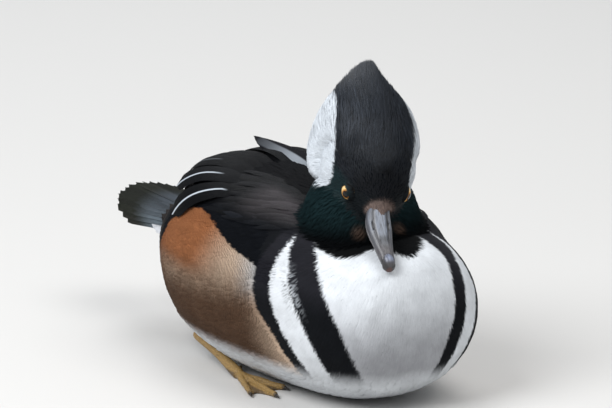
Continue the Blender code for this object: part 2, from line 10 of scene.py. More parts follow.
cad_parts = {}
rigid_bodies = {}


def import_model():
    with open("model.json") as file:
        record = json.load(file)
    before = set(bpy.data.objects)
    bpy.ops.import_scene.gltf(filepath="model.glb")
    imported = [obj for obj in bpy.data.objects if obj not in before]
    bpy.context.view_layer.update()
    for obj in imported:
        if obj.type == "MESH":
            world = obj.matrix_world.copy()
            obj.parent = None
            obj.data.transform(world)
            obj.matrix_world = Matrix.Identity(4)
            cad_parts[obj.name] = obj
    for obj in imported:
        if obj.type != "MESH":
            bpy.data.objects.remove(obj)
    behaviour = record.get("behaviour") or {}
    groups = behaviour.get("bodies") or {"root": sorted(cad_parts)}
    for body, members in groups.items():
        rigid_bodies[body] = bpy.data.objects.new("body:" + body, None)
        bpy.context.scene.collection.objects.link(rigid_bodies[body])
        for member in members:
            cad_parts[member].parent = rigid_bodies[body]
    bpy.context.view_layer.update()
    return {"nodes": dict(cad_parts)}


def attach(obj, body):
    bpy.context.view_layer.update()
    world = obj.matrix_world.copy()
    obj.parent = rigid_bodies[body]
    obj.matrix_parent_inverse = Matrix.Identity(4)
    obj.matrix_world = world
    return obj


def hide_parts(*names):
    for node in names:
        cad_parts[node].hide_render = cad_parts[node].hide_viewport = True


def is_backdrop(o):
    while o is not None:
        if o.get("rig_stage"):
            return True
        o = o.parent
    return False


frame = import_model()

# The studio: a pale seamless floor, soft lamps as in a museum's photo room, and a long lens
# at the height and side from which the bird is seen in the picture. The floor is one flat sheet,
# wide enough to fill the view.
MM = 0.001
VIEW_AZIMUTH = math.radians(-33)
VIEW_ELEVATION = math.radians(14.2)
VIEW_DISTANCE = 3.5
VIEW_WIDTH = 0.34
view_target = Vector((0.0072, 0.0227, 0.0909))


def towards(azimuth, elevation):
    """The way from the bird to a camera or lamp at these angles."""
    level = math.cos(elevation)
    return Vector((math.sin(azimuth) * level, -math.cos(azimuth) * level, math.sin(elevation)))


view_back = towards(VIEW_AZIMUTH, VIEW_ELEVATION)
bpy.ops.object.camera_add(location=view_target + view_back * VIEW_DISTANCE)
studio_camera = bpy.context.object
studio_camera.rotation_mode = "QUATERNION"
studio_camera.rotation_quaternion = (-view_back).to_track_quat("-Z", "Y")
studio_camera.data.lens = studio_camera.data.sensor_width * VIEW_DISTANCE / VIEW_WIDTH
studio_camera.data.clip_start = 0.1
studio_camera.data.clip_end = 50
bpy.context.scene.camera = studio_camera


def lamp(azimuth, elevation, distance, size, power, tint=(1, 1, 1)):
    way = towards(math.radians(azimuth), math.radians(elevation))
    bpy.ops.object.light_add(type="AREA", location=view_target + way * distance)
    made = bpy.context.object
    made.rotation_mode = "QUATERNION"
    made.rotation_quaternion = (-way).to_track_quat("-Z", "Y")
    made.data.shape = "DISK"
    made.data.size = size
    made.data.energy = power
    made.data.color = tint


lamp(-80, 44, 1.7, 1.1, 27, (0.97, 0.985, 1.0))
lamp(25, 62, 1.8, 1.2, 12, (1.0, 0.99, 0.97))
lamp(160, 48, 1.9, 1.2, 15, (0.96, 0.98, 1.0))

studio_air = bpy.data.worlds.new("studio_air")
studio_air.use_nodes = True
studio_air.node_tree.nodes["Background"].inputs["Color"].default_value = (0.93, 0.96, 1.0, 1)
studio_air.node_tree.nodes["Background"].inputs["Strength"].default_value = 0.42
bpy.context.scene.world = studio_air
bpy.context.scene.view_settings.view_transform = "Standard"


def wire(node, sockets):
    """Fills a node's sockets, named or numbered, with values or with what other nodes give."""
    for socket, value in sockets.items():
        if isinstance(value, bpy.types.Node):
            value = value.outputs[0]
        if isinstance(value, bpy.types.NodeSocket):
            node.id_data.links.new(value, node.inputs[socket])
        else:
            node.inputs[socket].default_value = value


def finish(name):
    """A new material, its shader, and a way to grow its other nodes, each wired as it is made."""
    made = bpy.data.materials.new(name)
    made.use_nodes = True
    nodes = made.node_tree.nodes

    def grow(kind, sockets, **settings):
        node = nodes.new("ShaderNode" + kind)
        for key, value in settings.items():
            setattr(node, key, value)
        wire(node, sockets)
        return node

    return made, nodes["Principled BSDF"], grow


bpy.ops.mesh.primitive_plane_add(size=9, location=(0, 0, 0))
floor = bpy.context.object
floor.name = "studio_floor"
bpy.ops.object.transform_apply(location=True, rotation=True, scale=True)
floor_finish, shader, _ = finish("floor_paper")
wire(shader, {"Base Color": (0.62, 0.61, 0.595, 1), "Roughness": 0.9, "Specular IOR Level": 0.15})
floor.data.materials.append(floor_finish)
floor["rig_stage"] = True

# The bird's own form under its plumage: body, neck and head in one skin, with the quick of the
# crest, the folded wings' padding and the root of the tail. A museum carves this in one piece.
# It is cast here from the frame's solids, smoothed, and taken in by the depth of the plumage.
EYE_POINT = np.array((-5.3, -66, 118.4))
head_turn = (
    Matrix.Rotation(math.radians(-21.2), 3, "Z")
    @ Matrix.Rotation(math.radians(34.5), 3, "X")
    @ Matrix.Rotation(math.radians(7.4), 3, "Y")
)
HEAD_AXES = np.array(head_turn @ Matrix(((0, 1, 0), (-1, 0, 0), (0, 0, 1))))


def from_head(places):
    """Places given forward along the bill, left and up in the head, turned into the bird's own."""
    return np.asarray(places) @ HEAD_AXES.T + EYE_POINT


def to_head(points):
    return (np.asarray(points) - EYE_POINT) @ HEAD_AXES


def unit(ways):
    """The same ways, each at the length of one."""
    return ways / np.maximum(np.linalg.norm(ways, axis=-1, keepdims=True), 1e-9)


def through(table, at):
    """Smooth values between the rows of a table, whose first column is the place along it."""
    rows = np.array(table, float)
    place, values = rows[:, 0], rows[:, 1:]
    slopes = np.gradient(values, place, axis=0)
    at = np.asarray(at, float)
    index = np.clip(np.searchsorted(place, at) - 1, 0, len(place) - 2)
    span = (place[index + 1] - place[index])[..., None]
    t = np.clip((at - place[index])[..., None] / span, 0, 1)
    rise = values[index + 1] - values[index]
    ease = t * (1 - t) ** 2 * slopes[index] - t * t * (1 - t) * slopes[index + 1]
    return values[index] + t * t * (3 - 2 * t) * rise + span * ease


# The crest's sides, about a point in the skull: angle back from the crown, reach of the rim, half
# thickness, how blunt the rim is, how sharply the sides draw in to it, and how soon the rim's
# bluntness ends (its point). The bird's right side is ruffled and fuller than its left.
CREST_SIDES = {
    -1: [
        (-36, 21, 11, 2, 1.3, 0.6), (-16, 22.4, 13.5, 3, 1.5, 0.6), (0, 24.6, 17.5, 5, 1.7, 0.6),
        (10, 28.5, 19, 6, 2.0, 0.6), (20, 36, 21, 7, 2.4, 0.6), (40, 50, 23, 11, 2.7, 0.75),
        (57, 64.5, 25, 15, 2.7, 0.95), (75, 63, 27.5, 8.5, 1.9, 0.8), (95, 60, 29, 4, 1.5, 0.6),
        (115, 55, 29.5, 3, 1.4, 0.6), (136, 46, 27.5, 3, 1.3, 0.6), (152, 36, 21, 3, 1.3, 0.6),
    ],
    1: [
        (-36, 21, 11, 2, 1.3, 0.6), (-16, 22.4, 13.5, 3, 1.5, 0.6), (0, 24.6, 18.6, 4, 1.7, 0.6),
        (10, 28.5, 20.8, 4, 2.2, 0.6), (20, 36, 22.6, 3, 2.7, 0.6), (40, 50, 24, 3, 3.3, 0.75),
        (57, 64.5, 24.5, 5, 3.8, 0.95), (75, 63, 26.5, 3, 2.2, 0.8), (95, 60, 28.5, 3, 1.6, 0.6),
        (115, 55, 29, 3, 1.4, 0.6), (136, 46, 26, 3, 1.3, 0.6), (152, 36, 20, 3, 1.3, 0.6),
    ],
}
FAN_BACK = -10
FAN_MIDDLE = 0.42


def crest_place(side, angle, turn, share=1.0, out_share=1.0, lift=0.0):
    """On one side of the crest: angle back from the crown, turn 0 at the rim and 90 at the thickest."""
    turn = np.asarray(turn, float)
    angle = angle + 0 * turn
    here, across_from = (
        np.moveaxis(through(CREST_SIDES[hand], angle), -1, 0) for hand in (side, -side)
    )
    reach, thick, blunt, draw_in, keen = np.where(turn < 0, across_from, here)
    angle, turn = np.radians(angle), np.radians(turn)
    middle = FAN_MIDDLE * reach
    c, s = np.cos(turn), np.abs(np.sin(turn))
    out = middle + (reach - middle) * out_share * np.where(c > 0, c, 0.5 * c) + lift * c
    across = share * (blunt * s**keen + (thick - blunt) * s**draw_in) + lift * s
    return np.stack([FAN_BACK - out * np.sin(angle), side * np.sign(turn) * across, out * np.cos(angle)], -1)


# The folded wing's outside. Rows: place along the body, half width, height on the back, height of
# the widest. Below them, how far round from the back its lower edge lies: place, degrees
WING_FOLD = [
    (-70, 48, 94, 56), (-52, 55, 102, 57), (-30, 59, 107, 58), (0, 61, 110.5, 60), (30, 60.5, 113, 62),
    (60, 55.5, 115, 64), (80, 47.5, 110.5, 64), (100, 34, 98, 62), (120, 25, 85, 62), (140, 19, 75, 62),
]
FOLD_POWER = 2.8
WING_EDGE = [(-70, 80), (-38, 75), (-21, 66), (0, 56), (18, 50), (45, 54), (70, 65), (90, 74)]


def fold_place(y, turn, lift=0.0):
    """On the folded wing's outside, turn 0 on the back and 90 at the widest, and the way outwards there."""
    y, turn, lift = np.broadcast_arrays(np.asarray(y, float), turn, lift)
    half, high, widest = np.moveaxis(through(WING_FOLD, y), -1, 0)
    across, up = np.sin(np.radians(turn)), np.cos(np.radians(turn))
    size = (np.abs(across) ** FOLD_POWER + np.abs(up) ** FOLD_POWER) ** (-1 / FOLD_POWER)
    point = np.stack([half * across * size, y, widest + (high - widest) * up * size], -1)
    steep = np.sign(up) * np.abs(up) ** (FOLD_POWER - 1)
    out = unit(np.stack([across ** (FOLD_POWER - 1) / half, 0 * y, steep / (high - widest)], -1))
    return point + out * lift[..., None], out


def only(thing):
    """Leaves one object selected and active, for the operators that follow."""
    bpy.ops.object.select_all(action="DESELECT")
    thing.select_set(True)
    bpy.context.view_layer.objects.active = thing


def array_of(items, field, width, kind=float):
    """One field of all these items of a mesh, as rows of an array."""
    values = np.empty(len(items) * width, kind)
    items.foreach_get(field, values)
    return values.reshape(-1, width)


def vertex_arrays(mesh):
    """The places and normals of a mesh's points."""
    return array_of(mesh.vertices, "co", 3), array_of(mesh.vertices, "normal", 3)


def move_points(thing, points):
    """Puts a thing's points at these places, in metres."""
    thing.data.vertices.foreach_set("co", points.ravel())
    thing.data.update()


def over_all_of(thing, operator, **settings):
    """Runs one of the mesh operators over the whole of a thing."""
    only(thing)
    bpy.ops.object.mode_set(mode="EDIT")
    bpy.ops.mesh.select_all(action="SELECT")
    operator(**settings)
    bpy.ops.object.mode_set(mode="OBJECT")


def rolled(name, rings):
    """A grid rolled into a tube through these rings of places, and both its ends closed."""
    rings = np.array(rings, float)
    count, sides = rings.shape[:2]
    bpy.ops.object.select_all(action="DESELECT")
    bpy.ops.mesh.primitive_grid_add(x_subdivisions=sides, y_subdivisions=count - 1)
    made = bpy.context.object
    made.name = name
    made.matrix_world = Matrix.Identity(4)
    round_again = np.concatenate([rings, rings[:, :1]], axis=1)
    move_points(made, round_again * MM)
    bpy.ops.object.mode_set(mode="EDIT")
    bpy.ops.mesh.select_all(action="SELECT")
    bpy.ops.mesh.remove_doubles(threshold=1e-6)
    bpy.ops.mesh.select_all(action="DESELECT")
    bpy.ops.mesh.select_non_manifold()
    bpy.ops.mesh.edge_face_add()
    bpy.ops.mesh.fill_holes(sides=0)
    bpy.ops.object.mode_set(mode="OBJECT")
    over_all_of(made, bpy.ops.mesh.normals_make_consistent, inside=False)
    return made


def cast_of(node, swell=0.5):
    """A copy of a frame solid, its loose triangles merged, and swollen a little to close the seams."""
    made = frame["nodes"][node].copy()
    made.data = made.data.copy()
    made.parent = None
    made.name = "cast_" + node
    for tag in [key for key in made.keys() if key.startswith("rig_")]:
        del made[tag]
    bpy.context.scene.collection.objects.link(made)
    over_all_of(made, bpy.ops.mesh.remove_doubles, threshold=1e-6)
    made.data.materials.clear()
    points, ways = vertex_arrays(made.data)
    move_points(made, points + ways * swell * MM)
    return made


def crest_quick():
    """The crest's soft core, well inside the tips."""
    rings = []
    for angle in np.linspace(-16, 150, 18):
        right = crest_place(-1, angle, np.linspace(0, 165, 12), 0.84, 0.5, -1.0)
        left = crest_place(1, angle, np.linspace(165, 15, 11), 0.84, 0.5, -1.0)
        rings.append(from_head(np.concatenate([right, left])))
    return rolled("cast_crest", rings)


def wing_padding(side):
    """The folded wing and its scapular pad, without any feather."""
    rings = []
    for y in np.linspace(-66, 62, 26):
        edge = float(through(WING_EDGE, y)[0])
        upper = [(turn, 0) for turn in np.linspace(2, edge - 9, 9)]
        tuck = [(edge - 3, -1.4), (edge + 3, -3.4), (edge + 8, -5)]
        outer = [fold_place(y, turn, lift)[0] for turn, lift in upper + tuck]
        inner = [fold_place(y, turn, -9)[0] for turn in np.linspace(edge + 8, 2, 7)]
        rings.append(np.array(outer + inner) * (side, 1, 1))
    return rolled("cast_wing", rings)


def tail_root():
    """The parson's nose, from inside the rump to under the tail coverts."""
    rings = []
    for y, half, low, high in ((4, 13, -6, 8), (20, 15, -4.5, 5), (34, 14, -3.4, 4), (42, 11, -2.4, 3)):
        turns = np.radians(np.linspace(0, 360, 16, endpoint=False))
        up = np.sin(turns)
        heights = 62.5 + np.where(up > 0, high, -low) * up
        rings.append(np.stack([half * np.cos(turns), 90 + y + 0 * up, heights], -1))
    return rolled("cast_tail", rings)


def socket_fill(side):
    """The flesh behind an eye, so that the socket isn't an open pit."""
    bpy.ops.object.select_all(action="DESELECT")
    bpy.ops.mesh.primitive_uv_sphere_add(segments=20, ring_count=12, radius=4.6 * MM)
    made = bpy.context.object
    made.data.transform(Matrix.Translation(Vector(from_head((-0.6, side * 11.6, 0.5))) * MM))
    return made


PLUMAGE_DEPTH = {"torso": 1.7, "neck": 1.6, "head": 1.2, "crest": 0.6, "wing": 1.5, "tail": 0.8}
casts = {
    "torso": [cast_of("torso")],
    "neck": [cast_of("neck")],
    "head": [cast_of("head"), socket_fill(-1), socket_fill(1)],
    "crest": [crest_quick()],
    "wing": [wing_padding(-1), wing_padding(1)],
    "tail": [tail_root()],
}
REGIONS = list(casts)


def tree_of(things):
    """A search tree over the faces of these objects."""
    points, faces = [], []
    for thing in things:
        faces += [tuple(i + len(points) for i in face.vertices) for face in thing.data.polygons]
        points += [vertex.co.copy() for vertex in thing.data.vertices]
    return BVHTree.FromPolygons(points, faces)


cast_trees = [tree_of(things) for things in casts.values()]


def region_of(points):
    """Which cast each place, in millimetres, lies nearest to, as a number in REGIONS."""
    found = np.zeros(len(points), int)
    for i, point in enumerate(points * MM):
        near = [tree.find_nearest(point)[3] for tree in cast_trees]
        found[i] = near.index(min(near))
    return found


skin = casts["torso"][0]
only(skin)
for thing in [piece for things in casts.values() for piece in things]:
    thing.select_set(True)
bpy.ops.object.join()
skin.name = "skin"
skin.data.name = "skin"


def modified(thing, kind, **settings):
    """Adds a modifier with these settings and applies it."""
    modifier = thing.modifiers.new(kind.lower(), kind)
    for key, value in settings.items():
        setattr(modifier, key, value)
    only(thing)
    bpy.ops.object.modifier_apply(modifier=modifier.name)


modified(skin, "REMESH", mode="VOXEL", voxel_size=1.5 * MM)
modified(skin, "SMOOTH", factor=0.5, iterations=9)
skin_points, skin_ways = vertex_arrays(skin.data)
skin_region = region_of(skin_points / MM)
depth = np.array([PLUMAGE_DEPTH[name] for name in REGIONS])[skin_region]
skin_edges = array_of(skin.data.edges, "vertices", 2, int)


def spread_over_skin(values, times):
    """Values at the skin's points, averaged with their neighbours' so many times."""
    ends = np.concatenate([skin_edges, skin_edges[:, ::-1]])
    count = np.bincount(ends[:, 0], minlength=len(values))[:, None] + 1
    for _ in range(times):
        total = values.copy()
        for column in range(values.shape[1]):
            total[:, column] += np.bincount(ends[:, 0], values[ends[:, 1], column], len(values))
        values = total / count
    return values


depth = spread_over_skin(depth[:, None], 6)
skin_points = skin_points - skin_ways * depth * MM
skin_points[:, 2] = np.maximum(skin_points[:, 2], 1.0 * MM)
move_points(skin, skin_points)
skin_points, skin_ways = vertex_arrays(skin.data)
skin_points = skin_points / MM


# What colour the plumage has at each place, the same for the skin and for every feather over it.
# The breast is white, with two black bars and a white one between them at each side, the back
# black, the flanks rufous to tan, the neck and face black with a green gloss.
# Rows up the body: height, then how far round from the front the white breast ends, where the
# white bar starts and ends, and where the flank starts, in degrees about BREAST_MIDDLE_Y.
BREAST_MIDDLE_Y = -40
RIGHT_MARKS = [
    (0, 22, 38, 50, 60), (41, 38, 57, 75, 85), (53, 42, 64, 83.5, 98.5), (64, 48, 71, 88.5, 102),
    (75, 54, 77, 90.5, 102.5), (83, 60, 81, 89.5, 101), (90, 66, 84, 87, 98), (94, 68, 86, 86, 97),
    (120, 68, 86, 86, 97),
]
LEFT_MARKS = [
    (0, 6, 13, 22, 34), (45, 14, 22.5, 32, 42), (55, 16.5, 24, 33, 44), (62, 17, 24.5, 34, 45),
    (73, 17.5, 26, 37, 48), (80, 19, 29, 42, 54), (86, 21.5, 43, 49, 62), (92, 23, 50, 50, 66),
    (120, 24, 50, 50, 66),
]
# Where the flank's feathers end under the wing: place along the body, height
FLANK_TOP = np.array((
    (-90, 78), (-45, 74), (-29, 74.8), (-17.5, 77.7), (-8.7, 79.3), (0, 82), (9, 85.1), (17, 88.4),
    (23.7, 90.8), (30.3, 92.7), (37.6, 93.2), (43.9, 92.3), (51.6, 89.7), (62.3, 84.6), (72.9, 78.1),
    (79, 71), (95, 56),
), float)
# The black collar's lower edge: how far round from the front towards the bird's left, height
COLLAR = [
    (-110, 97), (-83, 95.5), (-74, 93), (-58, 88.1), (-47, 86.4), (-37, 87.2), (-27.5, 90),
    (-18, 90.9), (-10, 89.2), (-2, 87.4), (7.5, 89.3), (21, 91.8), (36, 93.5), (80, 96),
]
# How far on each side of its line a colour's border blends, in degrees or millimetres
BORDER = 0.5
HEAD_BORDER = 0.6
# The fine strands beside the right side's white bar: degrees off its edge, colour, strength
BAR_STRANDS = ((-2.4, "hood", 0.7), (-4.8, "hood", 0.45), (3, "spur", 0.75), (5.6, "spur", 0.5))
COLOURS = {
    "white": (0.645, 0.67, 0.70),
    "hood": (0.61, 0.65, 0.695),
    "breast_shade": (0.31, 0.315, 0.335),
    "black": (0.0036, 0.0043, 0.0058),
    "spur": (0.012, 0.012, 0.0155),
    "crown": (0.016, 0.0195, 0.026),
    "green": (0.0075, 0.0185, 0.021),
    "shaded_throat": (0.0012, 0.0015, 0.0019),
    "brow": (0.12, 0.086, 0.074),
    "gape": (0.23, 0.14, 0.1),
    "back": (0.0036, 0.0038, 0.0046),
    "back_sheen": (0.075, 0.066, 0.071),
    "rufous": (0.315, 0.122, 0.051),
    "tan": (0.555, 0.415, 0.305),
    "grey_tan": (0.49, 0.53, 0.56),
    "low_flank_shade": (0.082, 0.044, 0.026),
    "rump": (0.022, 0.019, 0.018),
    "vent": (0.34, 0.31, 0.28),
}
COLOURS = {name: np.array(colour) for name, colour in COLOURS.items()}


def rise(values, start, end):
    """0 below start and 1 above end, eased between them."""
    t = np.clip((values - start) / (end - start), 0, 1)
    return t * t * (3 - 2 * t)


def laid_over(below, colour, share):
    return below + (np.asarray(colour) - below) * np.asarray(share)[..., None]


def hump(values, middle, width):
    """1 in the middle, eased to 0 at a width from it."""
    t = np.clip(1 - np.abs(values - middle) / width, 0, 1)
    return t * t * (3 - 2 * t)


def past(values, width=BORDER):
    """0 before a border and 1 beyond it, blended over this width to each side."""
    return rise(values, -width, width)


def body_plumage(points):
    """The body's colours, and how strongly the fine bars of the flank show."""
    x, y, z = points.T
    round_front = np.degrees(np.arctan2(np.abs(x), -(y - BREAST_MIDDLE_Y)))
    right, left = (np.array(marks, float) for marks in (RIGHT_MARKS, LEFT_MARKS))
    breast_end, bar_start, bar_end, flank_start = (
        np.where(x < 0, np.interp(z, right[:, 0], right[:, i]), np.interp(z, left[:, 0], left[:, i]))
        for i in range(1, 5)
    )
    colour = np.broadcast_to(COLOURS["back"], points.shape).copy()
    # Painted sheen: a paler band over the shoulders and mantle, where the black back catches the light.
    pale = rise(y, -52, -30) * (1 - rise(y, -6, 16)) * rise(np.abs(x), 20, 30) * rise(z, 95, 104)
    colour = laid_over(colour, COLOURS["black"], 1 - rise(z, 94, 102))
    colour = laid_over(colour, COLOURS["back_sheen"], 0.52 * pale)
    colour = laid_over(colour, COLOURS["rump"], rise(y, 84, 98))
    flank = np.broadcast_to(COLOURS["grey_tan"], points.shape)
    flank = laid_over(flank, COLOURS["tan"], np.maximum(rise(y, -38, -4), 1 - rise(z, 50, 72)))
    flank = laid_over(flank, COLOURS["rufous"], rise(y + 0.7 * (z - 60), 2, 44) * rise(z, 50, 66))
    flank = laid_over(flank, COLOURS["rufous"] * (0.55, 0.5, 0.5), 0.7 * rise(y, 64, 90))
    # Painted shade: the flank darkens to a deep brown low down on the body.
    low_flank_shade = 0.97 * (1 - rise(z + 0.1 * y, 45, 78)) * rise(y, -62, -14)
    flank = laid_over(flank, COLOURS["low_flank_shade"], low_flank_shade)
    flank_here = (1 - past(z - np.interp(y, *FLANK_TOP.T))) * past(round_front - flank_start)
    flank_here *= 1 - rise(y + 0.004 * (z - 66) ** 2, 93, 101)
    colour = laid_over(colour, flank, flank_here)
    front = (1 - rise(z, 92, 97)) * (1 - flank_here)
    bar = past(round_front - bar_start) * (1 - past(round_front - bar_end))
    spur = past(round_front - breast_end) * (1 - past(round_front - flank_start))
    # Painted sheen: the black spurs turn a lighter, bluer grey higher up, where they catch the light.
    spur_sheen = rise(z, 56, 74)[:, None]
    spur_colour = COLOURS["black"] + (COLOURS["spur"] - COLOURS["black"]) * spur_sheen
    colour = laid_over(colour, spur_colour, front * spur)
    colour = laid_over(colour, COLOURS["white"], front * bar)
    on_right = front * (x < 0) * hump(z, 68, 16)
    for off, tone, strength in BAR_STRANDS:
        strand = hump(round_front, bar_start + off + 0.05 * (z - 68), 0.8)
        colour = laid_over(colour, COLOURS[tone], strength * on_right * strand)
    breast = 1 - past(round_front - breast_end)
    white = np.broadcast_to(COLOURS["white"], points.shape)
    # Painted shade: the white breast greys towards the bottom, where it curves under away from the light.
    low = laid_over(white, COLOURS["breast_shade"], 0.9 * (1 - rise(z, 34, 74)))
    colour = laid_over(colour, low, breast)
    centre = np.degrees(np.arctan2(x, -(y - BREAST_MIDDLE_Y)))
    collar = through(COLLAR, centre)[:, 0]
    # The black neck above the collar, painted darker than the body's black as shade under the head.
    colour = laid_over(colour, COLOURS["shaded_throat"], breast * past(z - collar))
    belly = (1 - rise(z, 16, 27)) * (1 - rise(y, 78, 98))
    colour = laid_over(colour, 0.93 * COLOURS["white"], belly)
    vent = (1 - rise(z, 46, 60)) * rise(y + 0.2 * (z - 40), 84, 104)
    colour = laid_over(colour, COLOURS["vent"], vent)
    return colour, flank_here * (1 - belly)


# Where the corners of the mouth show as a brownish mark on each side
GAPE_SPOTS = ((-19.3, -71, 98.6), (4.6, -74.5, 98.3))


def neck_plumage(points):
    # The neck is black, painted darker than the body's black as shade under the head, with a green gloss
    # higher up.
    sheen = rise(points[:, 2], 92, 108)
    colour = laid_over(np.broadcast_to(COLOURS["shaded_throat"], points.shape), COLOURS["green"], 0.85 * sheen)
    for spot in GAPE_SPOTS:
        away = np.linalg.norm(points - spot, axis=1)
        colour = laid_over(colour, COLOURS["gape"], 0.2 * (1 - rise(away, 1, 6)))
    back = rise(points[:, 1], -34, -16)
    return laid_over(colour, COLOURS["black"], back)


# On the head: the white hood patch lies behind the eye, inside the crest's black rim. Rows: angle
# back from the crown, how far it starts from the middle, and how wide the rim is
PATCH_RIM = {
    -1: [
        (-30, 22.6, 30), (40, 22.4, 24), (57, 20.5, 19), (75, 18, 13), (95, 13, 10), (120, 11, 8),
        (150, 10, 7),
    ],
    1: [
        (-30, 17.4, 8), (0, 18.8, 9), (20, 20, 11), (40, 20.6, 12.5), (57, 17.5, 13), (75, 15.5, 12),
        (95, 13, 10), (120, 11, 8), (150, 10, 7),
    ],
}
# The patch's lower edge at each side, from the back to the front: forward, up
PATCH_FOOT = {-1: ((-31, -16, -5.5), (-21, -15.5, -3.5)), 1: ((-31, -16, -1.6), (-21, -15.5, 2.5))}


def head_plumage(points):
    f, left, u = to_head(points).T
    side = np.abs(left)
    colour = np.broadcast_to(COLOURS["green"], points.shape).copy()
    # Painted sheen: the black crown is given a bluish grey that grows towards the top of the head, where it
    # catches the light.
    colour = laid_over(colour, COLOURS["crown"] * 0.5, rise(u, 3, 9))
    colour = laid_over(colour, COLOURS["crown"], rise(u - 0.3 * f, 18, 34))
    # Painted shade: the underside of the head darkens to the neck's deepest black.
    colour = laid_over(colour, COLOURS["shaded_throat"], (1 - rise(u, -20, -13)))
    colour = laid_over(colour, COLOURS["black"], 0.85 * rise(f, -4, 3) * (1 - rise(side, 15, 19)))
    colour = laid_over(colour, COLOURS["brow"], rise(f, 10.5, 13.5) * rise(u, -3, 1) * 0.9)
    angle = np.degrees(np.arctan2(-(f - FAN_BACK), u))
    reach = np.hypot(f - FAN_BACK, u)
    patch = np.zeros(len(points))
    for hand in (-1, 1):
        rim = through(CREST_SIDES[hand], np.clip(angle, -16, 152))[:, 0]
        starts, black_rim = through(PATCH_RIM[hand], np.clip(angle, -30, 150)).T
        inside = past(side - starts, HEAD_BORDER) * (1 - past(reach - rim + black_rim, HEAD_BORDER))
        patch = np.where(np.sign(left) == hand, inside, patch)
    front_edge = np.where(left < 0, -6.2, -1.6)
    foot = np.where(left < 0, np.interp(f, *PATCH_FOOT[-1]), np.interp(f, *PATCH_FOOT[1]))
    patch *= past(u - foot, HEAD_BORDER) * (1 - past(f - front_edge, HEAD_BORDER))
    return laid_over(colour, COLOURS["hood"], patch)


def plumage(points, region):
    """The plumage's colour at places in millimetres, with the strength of its bars as a fourth value."""
    made = np.zeros((len(points), 4))
    made[:, :3], made[:, 3] = body_plumage(points)
    for name, looks in (("neck", neck_plumage), ("head", head_plumage), ("crest", head_plumage)):
        here = region == REGIONS.index(name)
        made[here, :3] = looks(points[here])
        made[here, 3] = 0
    return made


# The way that the feathers lie: back from the bill over the head, down the neck, down and outwards
# on the breast, and to the rear on the body. It is smoothed over the skin so that it turns
# gently where the parts meet.
def lie_of(points, region):
    x, y, _ = points.T
    flat = np.zeros(len(points))
    front = rise(-y, 30, 96)
    body = np.stack([0.014 * (x + 12) * front, 1 - 0.75 * front, -0.22 - 1.1 * front], -1)
    outwards = 0.42 * np.sign(x) * (1 - rise(np.abs(x), 34, 50))
    down = -0.15 - 0.3 * rise(np.abs(x), 25, 50) * (1 - rise(y, 30, 60))
    rules = {
        "torso": body,
        "wing": np.stack([outwards, flat + 1, down], -1),
        "tail": np.stack([flat, flat + 1, flat], -1),
        "neck": np.stack([0.012 * x, flat + 0.45, flat - 1], -1),
    }
    _, left, u = to_head(points).T
    crown = rise(u, 2, 12)
    over = np.stack([-1 + 0.35 * crown, 0.02 * left, -0.3 + 1.15 * crown], -1)
    rules["head"] = rules["crest"] = over @ HEAD_AXES.T
    ways = np.zeros((len(points), 3))
    for name, rule in rules.items():
        here = region == REGIONS.index(name)
        ways[here] = rule[here]
    return ways


def on_skin(ways, normals):
    """The ways turned into the surface, at unit length."""
    return unit(ways - normals * np.sum(ways * normals, -1, keepdims=True))


skin_lie = on_skin(lie_of(skin_points, skin_region), skin_ways)
for _ in range(12):
    skin_lie = on_skin(spread_over_skin(skin_lie, 2), skin_ways)

skin.data.calc_loop_triangles()
skin_faces = array_of(skin.data.loop_triangles, "vertices", 3, int)
skin_tree = BVHTree.FromPolygons([Vector(p) for p in skin_points], skin_faces.tolist())
face_middles = skin_points[skin_faces].mean(1)
face_ways = unit(skin_ways[skin_faces].mean(1))
face_lies = on_skin(skin_lie[skin_faces].mean(1), face_ways)
corners = skin_points[skin_faces]
one_side, other_side = corners[:, 1] - corners[:, 0], corners[:, 2] - corners[:, 0]
face_areas = np.linalg.norm(np.cross(one_side, other_side), axis=1) / 2
face_region = skin_region[skin_faces[:, 0]]


def sown(allowed, spacing, seed):
    """Roots scattered evenly over the allowed faces, no two nearer than the spacing: places and faces."""
    draw = np.random.default_rng(seed)
    faces = np.flatnonzero(allowed)
    areas = face_areas[faces]
    count = int(areas.sum() / (0.2 * spacing**2))
    chosen = np.searchsorted(np.cumsum(areas) / areas.sum(), draw.random(count))
    picked = faces[chosen.clip(0, len(faces) - 1)]
    a, b = draw.random((2, count, 1))
    over = a + b > 1
    a, b = np.where(over, 1 - a, a), np.where(over, 1 - b, b)
    tri = skin_points[skin_faces[picked]]
    places = tri[:, 0] + a * (tri[:, 1] - tri[:, 0]) + b * (tri[:, 2] - tri[:, 0])
    cells = {}
    kept = []
    near = [(i, j, k) for i in (-1, 0, 1) for j in (-1, 0, 1) for k in (-1, 0, 1)]
    cell_of = np.floor(places / spacing).astype(int).tolist()
    for index, ((x, y, z), cell) in enumerate(zip(places.tolist(), cell_of)):
        crowded = any(
            (x - other[0]) ** 2 + (y - other[1]) ** 2 + (z - other[2]) ** 2 < spacing**2
            for i, j, k in near
            for other in cells.get((cell[0] + i, cell[1] + j, cell[2] + k), ())
        )
        if not crowded:
            cells.setdefault(tuple(cell), []).append((x, y, z))
            kept.append(index)
    return places[kept], picked[kept]


